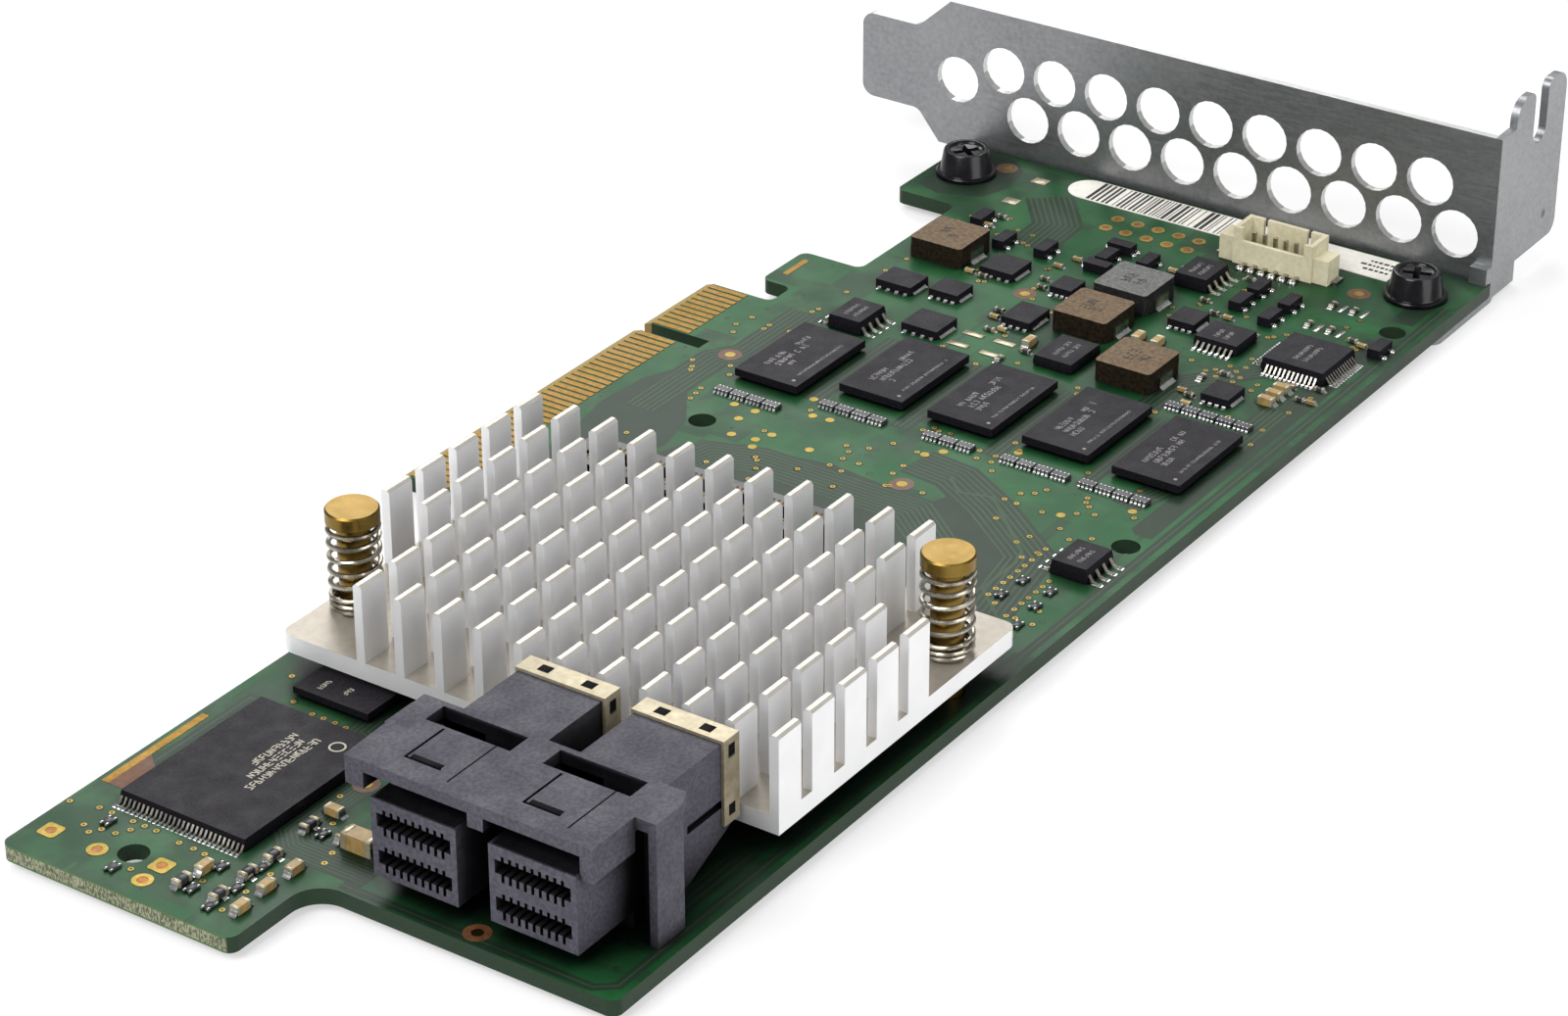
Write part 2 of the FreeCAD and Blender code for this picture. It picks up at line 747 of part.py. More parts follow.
# Brass pins: disc head, shaft and a barb that catches under the board
turned_pair("heat_sink_pins", [
    ("0", "-board_thick - pin_tail"),
    ("pin_tip_radius", "-board_thick - pin_tail"),
    ("pin_barb_radius", "-board_thick"),
    ("pin_shaft_radius", "-board_thick"),
    ("pin_shaft_radius", "pin_top - pin_head_height"),
    ("pin_head_radius", "pin_top - pin_head_height"),
    ("pin_head_radius", "pin_top"),
    ("0", "pin_top"),
])


def coil(centre):
    """Compression spring of square wire: closed end turns, an open helix between them."""
    low = size("sink_bottom") + size("sink_base")
    high = size("pin_top") - size("pin_head_height")
    half = size("spring_wire") / 2
    radius = size("spring_radius")
    facets = int(size("spring_facets"))
    steps = int(round(size("spring_turns") * facets))
    travel = high - low - 2 * half
    weights = []
    for step in range(steps):
        closed = step < facets or step >= steps - facets
        weights.append(2 * half * size("closed_pitch") / facets if closed else 0.0)
    free = (travel - sum(weights)) / weights.count(0.0)
    rises = [weight if weight else free for weight in weights]
    height = low + half
    sections = []
    for step in range(steps + 1):
        turn = step * math.tau / facets
        out = FreeCAD.Vector(math.cos(turn), math.sin(turn), 0)
        middle = centre + out * radius + FreeCAD.Vector(0, 0, height)
        corners = [middle + out * (half * a) + UPRIGHT * (half * b)
                   for a, b in ((-1, -1), (1, -1), (1, 1), (-1, 1), (-1, -1))]
        sections.append(Part.makePolygon(corners))
        if step < steps:
            height += rises[step]
    return Part.makeLoft(sections, True, True)


springs = doc.addObject("Part::Feature", "pin_springs")
springs.Label = "pin_springs"
pin_offset_along = size("sink_length") / 2 - size("pin_inset_along")
pin_offset_across = size("sink_width") / 2 - size("pin_inset_across")
springs.Shape = Part.makeCompound([
    coil(FreeCAD.Vector(sign * pin_offset_along, -sign * pin_offset_across, 0)) for sign in (-1, 1)])
place(springs, SINK_ALONG, "sink_across")
parts.append(springs)

# Controller package and the pad that carries its heat to the sink
controller = new_body("controller_package", SINK_ALONG, "sink_across")
parts.append(controller)
controller_sketch = new_sketch(controller, "XY_Plane")
box_outline(controller_sketch, "-controller_size / 2", "-controller_size / 2",
            "controller_size / 2", "controller_size / 2")
pad(controller, controller_sketch, "controller_height")
thermal = new_body("thermal_pad", SINK_ALONG, "sink_across", "controller_height")
parts.append(thermal)
thermal_sketch = new_sketch(thermal, "XY_Plane")
box_outline(thermal_sketch, "thermal_inset - controller_size / 2", "thermal_inset - controller_size / 2",
            "controller_size / 2 - thermal_inset", "controller_size / 2 - thermal_inset")
pad(thermal, thermal_sketch, "sink_bottom - controller_height")


def plug_block(name, side):
    """One drive port: front block with two card slots between combs, taller rear box behind."""
    body = new_body(name, "sas_face", "sas_middle %s port_pitch / 2" % side)
    side_sketch = new_sketch(body, "XZ_Plane")
    outline(side_sketch, [
        ("0", "block_low"),
        ("0", "block_high"),
        ("block_front_length", "block_high"),
        ("block_front_length", "rear_box_high"),
        ("block_length", "rear_box_high"),
        ("block_length", "rear_slope_high"),
        ("rear_slope_start", "0"),
        ("block_foot_start", "0"),
        ("block_foot_start", "block_low"),
    ])
    pad(body, side_sketch, "block_width", both_ways=True)
    for low in ("port_slot_upper", "port_slot_lower"):
        slot_sketch = new_sketch(body, "YZ_Plane")
        box_outline(slot_sketch, "-port_slot_width / 2", low, "port_slot_width / 2",
                    "%s + port_slot_height" % low)
        pocket(body, slot_sketch, "port_slot_depth", upwards=True)
        comb_sketch = new_sketch(body, "YZ_Plane")
        start = "-comb_pitch * (comb_count - 1) / 2"
        box_outline(comb_sketch, "%s - comb_width / 2" % start, "%s + port_slot_height" % low,
                    "%s + comb_width / 2" % start, "%s + port_slot_height + comb_rise" % low)
        box_outline(comb_sketch, "%s - comb_width / 2" % start, "%s - comb_drop" % low,
                    "%s + comb_width / 2" % start, low)
        comb = pocket(body, comb_sketch, "comb_depth", upwards=True)
        repeat(body, comb, "Y_Axis", "comb_pitch", "comb_count")
    groove_sketch = new_sketch(body, "XZ_Plane", "block_width / 2")
    box_outline(groove_sketch, "side_groove_start", "side_groove_low", "block_length",
                "side_groove_high")
    pocket(body, groove_sketch, "side_groove_depth")
    parts.append(body)


plug_block("sas_plug_block_a", "+")
plug_block("sas_plug_block_b", "-")

# Moulded cover over both ports: roof with latch windows, side walls, and posts down to the board
cover = new_body("sas_cover", "sas_face", "sas_middle")
parts.append(cover)
WEB_INNER = "(port_pitch / 2 + block_width / 2)"
roof_sketch = new_sketch(cover, "XY_Plane", "cover_top")
outline(roof_sketch, [
    ("cover_front", "-cover_step"),
    ("post_front", "-cover_step"),
    ("post_front", "-cover_half"),
    ("post_back", "-cover_half"),
    ("cover_back", "post_thick - cover_half"),
    ("cover_back", "cover_half"),
    ("cover_front", "cover_half - cover_taper"),
])
pad(cover, roof_sketch, "cover_thick", downwards=True)
wall_sketch = new_sketch(cover, "XY_Plane", "cover_top")
box_outline(wall_sketch, "cover_front", "-cover_step", "post_front", "-" + WEB_INNER)
pad(cover, wall_sketch, "cover_top - cover_wall_low", downwards=True)
for side in ("", "-"):
    post_sketch = new_sketch(cover, "XY_Plane")
    outline(post_sketch, [
        ("post_front", side + "(cover_half)"),
        ("post_back", side + "(cover_half)"),
        ("post_back", side + WEB_INNER),
        ("post_back - post_thick", side + WEB_INNER),
        ("post_back - post_thick", side + "(cover_half - post_thick)"),
        ("post_front", side + "(cover_half - post_thick)"),
    ])
    pad(cover, post_sketch, "cover_top")
stub_sketch = new_sketch(cover, "XY_Plane", "stub_low")
box_outline(stub_sketch, "cover_front", "cover_half - cover_taper - stub_width",
            "cover_front + stub_length", "cover_half - cover_taper")
pad(cover, stub_sketch, "cover_top - stub_low")
tab_body_sketch = new_sketch(cover, "XY_Plane", "centre_tab_low")
box_outline(tab_body_sketch, "cover_front", "-centre_tab_width / 2",
            "cover_front + centre_tab_thick", "centre_tab_width / 2")
pad(cover, tab_body_sketch, "cover_top - centre_tab_low")
window_sketch = new_sketch(cover, "XY_Plane", "cover_top")
MIDDLE_B = "-port_pitch / 2 + window_shift"
box_outline(window_sketch, "window_front", "%s - window_width / 2" % MIDDLE_B, "window_back",
            "%s + window_width / 2" % MIDDLE_B)
outline(window_sketch, [
    ("latch_back", MIDDLE_B + " + latch_reach"),
    ("latch_front", MIDDLE_B + " + latch_reach"),
    ("latch_front", MIDDLE_B + " + latch_reach - latch_front_slit"),
    ("latch_front + latch_slit", MIDDLE_B + " + latch_reach - latch_front_slit"),
    ("latch_front + latch_slit", MIDDLE_B + " + latch_reach - latch_slit"),
    ("latch_back", MIDDLE_B + " + latch_reach - latch_slit"),
])
window = pocket(cover, window_sketch, "cover_thick")
repeat(cover, window, "Y_Axis", "port_pitch", "2")


def sheet_clip(name, side):
    """Plated sheet folded over the rear end of a port, with pierced square holes."""
    body = new_body(name, "sas_face + block_length - clip_length", "sas_middle %s port_pitch / 2" % side)
    fold_sketch = new_sketch(body, "YZ_Plane")
    outline(fold_sketch, [
        ("-block_width / 2 - clip_thick", "clip_low"),
        ("-block_width / 2 - clip_thick", "rear_box_high + clip_thick"),
        ("block_width / 2 + clip_thick", "rear_box_high + clip_thick"),
        ("block_width / 2 + clip_thick", "clip_low"),
        ("block_width / 2", "clip_low"),
        ("block_width / 2", "rear_box_high"),
        ("-block_width / 2", "rear_box_high"),
        ("-block_width / 2", "clip_low"),
    ])
    pad(body, fold_sketch, "clip_length")
    hole_top = new_sketch(body, "XY_Plane", "rear_box_high + clip_thick")
    for step in ("-", "+"):
        middle = "(%s clip_hole_pitch / 2)" % step.replace("+", "")
        box_outline(hole_top, "clip_length / 2 - clip_hole / 2", middle + " - clip_hole / 2",
                    "clip_length / 2 + clip_hole / 2", middle + " + clip_hole / 2")
    pocket(body, hole_top, "clip_thick")
    hole_side = new_sketch(body, "XZ_Plane")
    for middle in ("(rear_box_high - clip_hole_drop)", "(clip_low + clip_hole_rise)"):
        box_outline(hole_side, "clip_length / 2 - clip_hole / 2", middle + " - clip_hole / 2",
                    "clip_length / 2 + clip_hole / 2", middle + " + clip_hole / 2")
    pocket(body, hole_side, "block_width + 4 * clip_thick", both_ways=True)
    parts.append(body)


sheet_clip("sas_clip_a", "+")
sheet_clip("sas_clip_b", "-")


def moulded_chip(name, along, across, long, wide, high):
    """Moulded chip body: straight lower half, drafted upper half."""
    body = new_body(name, along, across)
    low_sketch = new_sketch(body, "XY_Plane", "chip_clearance")
    box_outline(low_sketch, "-(%s) / 2" % long, "-(%s) / 2" % wide, "(%s) / 2" % long, "(%s) / 2" % wide)
    pad(body, low_sketch, "(%s - chip_clearance) / 2" % high)
    top_sketch = new_sketch(body, "XY_Plane", "(%s + chip_clearance) / 2" % high)
    box_outline(top_sketch, "-(%s) / 2" % long, "-(%s) / 2" % wide, "(%s) / 2" % long, "(%s) / 2" % wide)
    pad(body, top_sketch, "(%s - chip_clearance) / 2" % high, slope="mould_slope")
    parts.append(body)
    return body


def gull_leads(body, role, edge, tip, high, pitch, count, width, thick, foot):
    """Two rows of bent leads, on the sides that the plane's first direction points to."""
    start = "(%s) * (%s - 1) / 2" % (pitch, count)
    sketch = new_sketch(body, role, start if role == "XZ_Plane" else "-" + start)
    middle = "(%s + chip_clearance) / 2" % high
    for side in ("", "-"):
        outline(sketch, [
            (side + "(%s)" % edge, middle),
            (side + "(%s - %s)" % (tip, foot), thick),
            (side + "(%s)" % tip, "0"),
            (side + "(%s - %s - %s / 2)" % (tip, foot, thick), "0"),
            (side + "(%s)" % edge, "%s - %s" % (middle, thick)),
        ])
    lead = pad(body, sketch, width, both_ways=True)
    repeat(body, lead, "Y_Axis" if role == "XZ_Plane" else "X_Axis", pitch, count)


# Flash memory in a thin outline package
moulded_chip("flash_chip", "flash_along", "flash_across", "flash_long", "flash_wide", "flash_high")
flash_leads = new_body("flash_chip_leads", "flash_along", "flash_across")
parts.append(flash_leads)
gull_leads(flash_leads, "XZ_Plane", "flash_long / 2", "flash_span / 2", "flash_high", "flash_pitch",
           "flash_leads", "flash_lead_width", "fine_lead_thick", "fine_lead_foot")

# Square chip with leads on all four sides
moulded_chip("quad_chip", "quad_along", "quad_across", "quad_size", "quad_size", "quad_high")
quad_leads = new_body("quad_chip_leads", "quad_along", "quad_across")
parts.append(quad_leads)
for role in ("XZ_Plane", "YZ_Plane"):
    gull_leads(quad_leads, role, "quad_size / 2", "quad_span / 2", "quad_high", "quad_pitch",
               "quad_leads", "quad_lead_width", "fine_lead_thick", "fine_lead_foot")

# Slim driver chip
moulded_chip("driver_chip", "driver_along", "driver_across", "driver_long", "driver_wide", "driver_high")
driver_leads = new_body("driver_chip_leads", "driver_along", "driver_across")
parts.append(driver_leads)
gull_leads(driver_leads, "XZ_Plane", "driver_long / 2", "driver_span / 2", "driver_high",
           "driver_pitch", "driver_leads", "driver_lead_width", "fine_lead_thick", "fine_lead_foot")

# Three eight-lead chips
for spot in ("small_low", "small_mid", "small_top"):
    moulded_chip(spot.replace("small", "eight_lead_chip"), spot + "_along", spot + "_across",
                 "small_long", "small_wide", "small_high")
    small_leads = new_body(spot.replace("small", "eight_lead_chip") + "_leads",
                           spot + "_along", spot + "_across")
    parts.append(small_leads)
    gull_leads(small_leads, "YZ_Plane", "small_wide / 2", "small_span / 2", "small_high",
               "small_pitch", "small_leads", "small_lead_width", "lead_thick", "lead_foot")


def ball_chip(name, along, across, long, wide, high):
    """Chip on a ball grid: the narrower ball field below, the moulded body on it."""
    body = new_body(name, str(along), str(across))
    ball_sketch = new_sketch(body, "XY_Plane")
    box_outline(ball_sketch, "memory_ball_inset - %s / 2" % long, "memory_ball_inset - %s / 2" % wide,
                "%s / 2 - memory_ball_inset" % long, "%s / 2 - memory_ball_inset" % wide)
    pad(body, ball_sketch, "memory_ball_high")
    mould_sketch = new_sketch(body, "XY_Plane", "memory_ball_high")
    box_outline(mould_sketch, "-%s / 2" % long, "-%s / 2" % wide, "%s / 2" % long, "%s / 2" % wide)
    pad(body, mould_sketch, "%s - memory_ball_high" % high)
    parts.append(body)


MEMORY_SPOTS = [(1.95, 50.0), (5.05, 39.4), (5.13, 28.95), (5.8, 18.4), (5.36, 7.95)]
for number, (along, across) in enumerate(MEMORY_SPOTS, start=1):
    ball_chip("memory_chip_%d" % number, along, across, "memory_long", "memory_wide", "memory_high")
ball_chip("logic_chip", "logic_along", "logic_across", "logic_long", "logic_wide", "logic_high")

# Power inductors: pressed blocks with broken edges, a bent terminal at each end
INDUCTOR_SPOTS = [(32.7, 51.45), (33.95, 29.5), (26.1, 29.75), (18.75, 20.3)]
for number, (along, across) in enumerate(INDUCTOR_SPOTS, start=1):
    inductor = new_body("power_inductor_%d" % number, str(along), str(across))
    block_sketch = new_sketch(inductor, "XY_Plane")
    outline(block_sketch, [
        ("inductor_edge - inductor_long / 2", "-inductor_wide / 2"),
        ("inductor_long / 2 - inductor_edge", "-inductor_wide / 2"),
        ("inductor_long / 2", "inductor_edge - inductor_wide / 2"),
        ("inductor_long / 2", "inductor_wide / 2 - inductor_edge"),
        ("inductor_long / 2 - inductor_edge", "inductor_wide / 2"),
        ("inductor_edge - inductor_long / 2", "inductor_wide / 2"),
        ("-inductor_long / 2", "inductor_wide / 2 - inductor_edge"),
        ("-inductor_long / 2", "inductor_edge - inductor_wide / 2"),
    ])
    pad(inductor, block_sketch, "inductor_high")
    parts.append(inductor)


def blocks(name, spots, long, wide, high, up="0"):
    """Group of equal small blocks, one separate solid at each spot; a third entry turns it."""
    pieces = []
    for spot in spots:
        turned = len(spot) > 2 and spot[2]
        block = doc.addObject("Part::Box", name + "_one")
        lengths = (wide, long) if turned else (long, wide)
        bind(block, "Length", lengths[0])
        bind(block, "Width", lengths[1])
        bind(block, "Height", high)
        place(block, "%s - (%s) / 2" % (spot[0], lengths[0]), "%s - (%s) / 2" % (spot[1], lengths[1]), up)
        pieces.append(block)
    group = doc.addObject("Part::Compound", name)
    group.Label = name
    group.Links = pieces
    parts.append(group)


blocks("inductor_terminals",
       [(along, "(%s %s (inductor_wide + terminal_thick) / 2)" % (across, side))
        for along, across in INDUCTOR_SPOTS for side in ("-", "+")],
       "terminal_wide", "terminal_thick", "terminal_high")

# Power transistors and leadless power packages, each with its own length and width
POWER_SPOTS = [
    (23.0, 51.3, 3.5, 4.3), (24.0, 45.85, 3.2, 3.5), (16.1, 43.5, 4.0, 4.3), (31.95, 44.0, 4.0, 4.0),
    (23.2, 36.2, 4.2, 3.4), (31.5, 36.1, 3.0, 2.6), (32.0, 21.8, 3.4, 3.1), (19.3, 10.7, 3.5, 3.1),
]
power_pieces = []
for along, across, long, wide in POWER_SPOTS:
    package = doc.addObject("Part::Box", "power_package_one")
    bind(package, "Length", long)
    bind(package, "Width", wide)
    bind(package, "Height", "power_high")
    place(package, "%s - %s / 2" % (along, long), "%s - %s / 2" % (across, wide))
    power_pieces.append(package)
power = doc.addObject("Part::Compound", "leadless_power_packages")
power.Label = "leadless_power_packages"
power.Links = power_pieces
parts.append(power)
moulded_chip("power_diode", "18.0", "28.1", "diode_long", "diode_wide", "diode_high")

# Stacking connector beside the heat sink: long socket with a slot for the module's plug
stack = new_body("stacking_connector", "sink_rear + sink_length + stack_gap + stack_wide / 2",
                 "stack_across")
parts.append(stack)
stack_sketch = new_sketch(stack, "XY_Plane")
box_outline(stack_sketch, "-stack_wide / 2", "-stack_long / 2", "stack_wide / 2", "stack_long / 2")
pad(stack, stack_sketch, "stack_high")
stack_slot_sketch = new_sketch(stack, "XY_Plane", "stack_high")
box_outline(stack_slot_sketch, "-stack_slot_wide / 2", "-stack_slot_long / 2",
            "stack_slot_wide / 2", "stack_slot_long / 2")
pocket(stack, stack_slot_sketch, "stack_slot_deep")

# Six-way header: shroud with a low front, slits in its rear wall, and a low wing at each end
header = new_body("header_housing", "header_along", "header_across")
parts.append(header)
shroud_sketch = new_sketch(header, "XY_Plane")
box_outline(shroud_sketch, "-header_wide / 2", "-header_long / 2", "header_wide / 2",
            "header_long / 2")
pad(header, shroud_sketch, "header_high")
wing_sketch = new_sketch(header, "XY_Plane")
box_outline(wing_sketch, "wing_setback - header_wide / 2", "-wing_long / 2",
            "wing_setback - header_wide / 2 + wing_wide", "wing_long / 2")
pad(header, wing_sketch, "wing_high")
cavity_sketch = new_sketch(header, "XY_Plane", "header_high")
box_outline(cavity_sketch, "header_wall - header_wide / 2", "header_wall - header_long / 2",
            "header_wide / 2 - header_wall", "header_long / 2 - header_wall")
pocket(header, cavity_sketch, "header_high - header_floor")
mouth_sketch = new_sketch(header, "XY_Plane", "header_high")
box_outline(mouth_sketch, "-header_wide", "-header_window / 2", "0", "header_window / 2")
pocket(header, mouth_sketch, "header_high - header_front_high")
slit_sketch = new_sketch(header, "XY_Plane", "header_high")
box_outline(slit_sketch, "0", "-header_slit_offset - header_slit / 2", "header_wide",
            "header_slit / 2 - header_slit_offset")
box_outline(slit_sketch, "0", "header_slit_offset - header_slit / 2", "header_wide",
            "header_slit_offset + header_slit / 2")
pocket(header, slit_sketch, "header_high - header_slit_low")

# Header pins, each with a tail that comes out over the board
pins = new_body("header_contacts", "header_along", "header_across")
parts.append(pins)
pin_sketch = new_sketch(pins, "XY_Plane", "header_floor")
START = "-header_pitch * (header_ways - 1) / 2"
box_outline(pin_sketch, "-header_pin / 2", "%s - header_pin / 2" % START, "header_pin / 2",
            "%s + header_pin / 2" % START)
pin = pad(pins, pin_sketch, "header_pin_top - header_floor")
repeat(pins, pin, "Y_Axis", "header_pitch", "header_ways")
tail_sketch = new_sketch(pins, "XY_Plane")
box_outline(tail_sketch, "-header_wide / 2 - header_tail_reach", "%s - header_pin / 2" % START,
            "-header_wide / 2", "%s + header_pin / 2" % START)
tail = pad(pins, tail_sketch, "header_pin")
repeat(pins, tail, "Y_Axis", "header_pitch", "header_ways")
blocks("header_anchors",
       [("header_along", "(header_across %s (wing_long + anchor_reach) / 2)" % side)
        for side in ("-", "+")],
       "anchor_wide", "anchor_reach", "anchor_thick")

# Rows of resistor arrays beside the memory chips
ARRAY_ROWS = [(-7.55, 46.1, 4), (-4.3, 35.6, 4), (-4.1, 25.4, 3), (-4.0, 14.6, 4), (-4.0, 5.7, 4),
              (14.8, 4.9, 5)]
blocks("resistor_arrays",
       [(along, "(%s + array_pitch * %s)" % (start, step + 0.5))
        for along, start, count in ARRAY_ROWS for step in range(count)],
       "array_wide", "array_long", "array_high")

blocks("chip_resistors", [
    (-104.5, 39.9), (-97.3, 35.8, True), (-100.8, 35.8, True), (-104.2, 35.9, True),
    (-92.0, 36.4, True), (-91.3, 33.0), (38.7, 11.3), (38.7, 8.8), (44.0, 11.3), (44.0, 8.8),
    (22.0, 14.6), (24.0, 13.0, True), (38.9, 31.0), (44.6, 21.4, True), (14.0, 33.7),
], "resistor_long", "resistor_wide", "resistor_high")
blocks("ceramic_capacitors", [
    (-102.0, 39.3), (-98.0, 33.0), (-101.3, 33.2), (-104.8, 33.0), (-89.4, 35.8, True),
    (25.8, 24.2), (25.9, 22.0), (18.6, 32.9), (20.7, 6.5, True), (22.3, 6.5, True), (23.9, 6.5, True),
], "capacitor_long", "capacitor_wide", "capacitor_high")
blocks("large_capacitor", [(-92.3, 30.5, True)], "large_capacitor_long", "large_capacitor_wide",
       "large_capacitor_high")
blocks("small_transistors", [
    (41.1, 52.6), (37.7, 47.7), (38.2, 42.8), (40.2, 36.4), (43.2, 36.3, True), (41.5, 32.1),
    (37.6, 36.0, True), (41.2, 14.9), (37.2, 15.1), (38.8, 19.4), (42.6, 19.3), (37.0, 2.3),
], "transistor_long", "transistor_wide", "transistor_high")

# Paper label beside the bracket, rounded at one end
label = new_body("paper_label")
parts.append(label)
label_sketch = new_sketch(label, "XY_Plane")
box_outline(label_sketch, "label_rear", "label_start - board_height", "label_front",
            "label_end - board_height")
pad(label, label_sketch, "label_thick")
round_edges(label, UPRIGHT, [
    (size("label_rear"), size("label_end") - size("board_height")),
    (size("label_front"), size("label_end") - size("board_height")),
], "label_round")

doc.recompute()
for item in doc.Objects:
    if "Invalid" in item.State or "Error" in item.State:
        raise RuntimeError("%s failed: %s" % (item.Name, item.State))
for part in parts:
    if part.Shape.isNull() or not part.Shape.isValid():
        raise RuntimeError(part.Label + " has no valid shape")

os.makedirs("parts", exist_ok=True)
for part in parts:
    part.Shape.exportStep("parts/%s.step" % part.Label)
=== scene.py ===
import math
import random

import bmesh
import bpy
from mathutils import Matrix, Vector


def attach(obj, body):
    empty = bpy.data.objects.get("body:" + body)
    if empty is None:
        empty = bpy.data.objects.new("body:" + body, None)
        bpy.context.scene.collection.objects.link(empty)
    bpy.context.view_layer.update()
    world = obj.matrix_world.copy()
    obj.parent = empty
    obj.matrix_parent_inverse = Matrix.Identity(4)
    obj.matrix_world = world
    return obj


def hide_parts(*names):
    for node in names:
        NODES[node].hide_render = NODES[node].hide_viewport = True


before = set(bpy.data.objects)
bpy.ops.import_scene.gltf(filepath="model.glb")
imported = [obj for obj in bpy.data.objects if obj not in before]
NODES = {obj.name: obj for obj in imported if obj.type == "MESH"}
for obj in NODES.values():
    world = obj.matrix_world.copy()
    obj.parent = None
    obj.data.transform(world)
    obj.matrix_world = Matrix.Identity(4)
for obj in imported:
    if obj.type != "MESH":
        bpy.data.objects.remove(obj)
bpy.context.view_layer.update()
SCENE = bpy.context.scene


# Sizes in millimetres that several sections share, and groups of nodes

MM = 0.001
BOARD_WIDTH = 68.9
BOARD_BACK = -1.57
FLOOR_HEIGHT = -2.43
PIN_CENTRES = ((-66.35, 51.9), (-43.45, 3.7))

EIGHT_LEAD_CHIPS = tuple("eight_lead_chip_" + place for place in ("low", "mid", "top"))
LEADED_CHIPS = ("driver_chip", *EIGHT_LEAD_CHIPS, "flash_chip", "quad_chip")
MEMORY_CHIPS = tuple("memory_chip_%d" % number for number in range(1, 6))
INDUCTORS = tuple("power_inductor_%d" % number for number in range(1, 5))


# Colours and materials


def rgb(red, green, blue):
    """A colour as a screen shows it, in the linear values that shaders take."""

    def linear(value):
        value = value / 255
        return value / 12.92 if value <= 0.04045 else ((value + 0.055) / 1.055) ** 2.4

    return (linear(red), linear(green), linear(blue), 1.0)


def feed(tree, socket, value):
    """Sets a socket, or links it where the value is the output of another node."""
    if isinstance(value, bpy.types.NodeSocket):
        tree.links.new(value, socket)
    else:
        socket.default_value = value


def add_node(tree, kind, inputs=None, **settings):
    made = tree.nodes.new("ShaderNode" + kind)
    for name, value in settings.items():
        setattr(made, name, value)
    for socket, value in (inputs or {}).items():
        feed(tree, made.inputs[socket], value)
    return made


LEVEL_ENOUGH = 0.7
NOISE_SPAN = (0.3, 0.7)
# Samples of the painted shade that darkens colours near other forms
PAINTED_SHADE_SAMPLES = 8


class Finish:
    """A material with its node tree, fed from the object's own coordinates."""

    def __init__(self, name, roughness, metallic=0.0, specular=0.5):
        self.material = bpy.data.materials.new(name)
        self.material.use_nodes = True
        self.tree = self.material.node_tree
        self.shader = self.tree.nodes["Principled BSDF"]
        self.set("Metallic", metallic)
        self.set("Roughness", roughness)
        self.set("Specular IOR Level", specular)
        self.place = self.node("TexCoord").outputs["Object"]

    def node(self, kind, inputs=None, **settings):
        return add_node(self.tree, kind, inputs, **settings)

    def set(self, socket, value):
        feed(self.tree, self.shader.inputs[socket], value)

    def axes(self, value):
        return self.node("SeparateXYZ", {0: value}).outputs

    def stretched(self, along, across, up):
        settings = {"Vector": self.place, "Scale": (along, across, up)}
        return self.node("Mapping", settings).outputs["Vector"]

    def noise(self, size, detail=3.0, place=None):
        """Soft noise with blotches of about this size in millimetres."""
        inputs = {"Vector": place or self.place, "Scale": 1 / (size * MM), "Detail": detail}
        return self.node("TexNoise", inputs).outputs["Fac"]

    def cells(self, size, feature="F1", distance="EUCLIDEAN"):
        """Distance inside a pattern of cells of about this size in millimetres."""
        inputs = {"Vector": self.place, "Scale": 1 / (size * MM)}
        made = self.node("TexVoronoi", inputs, distance=distance, feature=feature)
        return made.outputs["Distance"]

    def math(self, operation, first, second=0.0):
        return self.node("Math", {0: first, 1: second}, operation=operation).outputs[0]

    def vector(self, operation, first, second=(0, 0, 0)):
        return self.node("VectorMath", {0: first, 1: second}, operation=operation).outputs

    def above(self, value, limit):
        return self.math("GREATER_THAN", value, limit)

    def below(self, value, limit):
        return self.math("LESS_THAN", value, limit)

    def both(self, first, second):
        return self.math("MULTIPLY", first, second)

    def between(self, value, low, high):
        return self.both(self.above(value, low), self.below(value, high))

    def facing(self, axis):
        """How squarely a face looks along this axis, from 0 to 1."""
        normal = self.node("NewGeometry").outputs["Normal"]
        return self.math("ABSOLUTE", self.axes(normal)[axis])

    def facing_up(self):
        """1 on level faces, 0 on the sides."""
        return self.above(self.facing(2), LEVEL_ENOUGH)

    def mix(self, factor, *shades):
        """Two shades, each a colour as a screen shows it or the output of a node."""
        first, second = (rgb(*shade) if isinstance(shade, tuple) else shade for shade in shades)
        return self.node("Mix", {0: factor, 6: first, 7: second}, data_type="RGBA").outputs[2]

    def spread(self, value, low, high, low_result=0.0, high_result=1.0):
        inputs = {0: value, 1: low, 2: high, 3: low_result, 4: high_result}
        return self.node("MapRange", inputs).outputs[0]

    def painted_occlusion_shade(self, colour, dark, reach, low, high):
        """Painted shade: the colour, going dark where other forms stand close around it."""
        inputs = {"Distance": reach * MM}
        share = self.node("AmbientOcclusion", inputs, samples=PAINTED_SHADE_SAMPLES).outputs["AO"]
        return self.mix(self.spread(share, low, high), dark, colour)

    def gloss(self, pattern, smooth, rough):
        """Roughness that wanders between two values."""
        self.set("Roughness", self.spread(pattern, *NOISE_SPAN, smooth, rough))

    def coloured(self, colour, height, strength, depth):
        """The finish with its colour, and with a relief of this depth in millimetres."""
        self.set("Base Color", colour)
        inputs = {"Height": height, "Strength": strength, "Distance": depth * MM}
        self.set("Normal", self.node("Bump", inputs).outputs["Normal"])
        return self


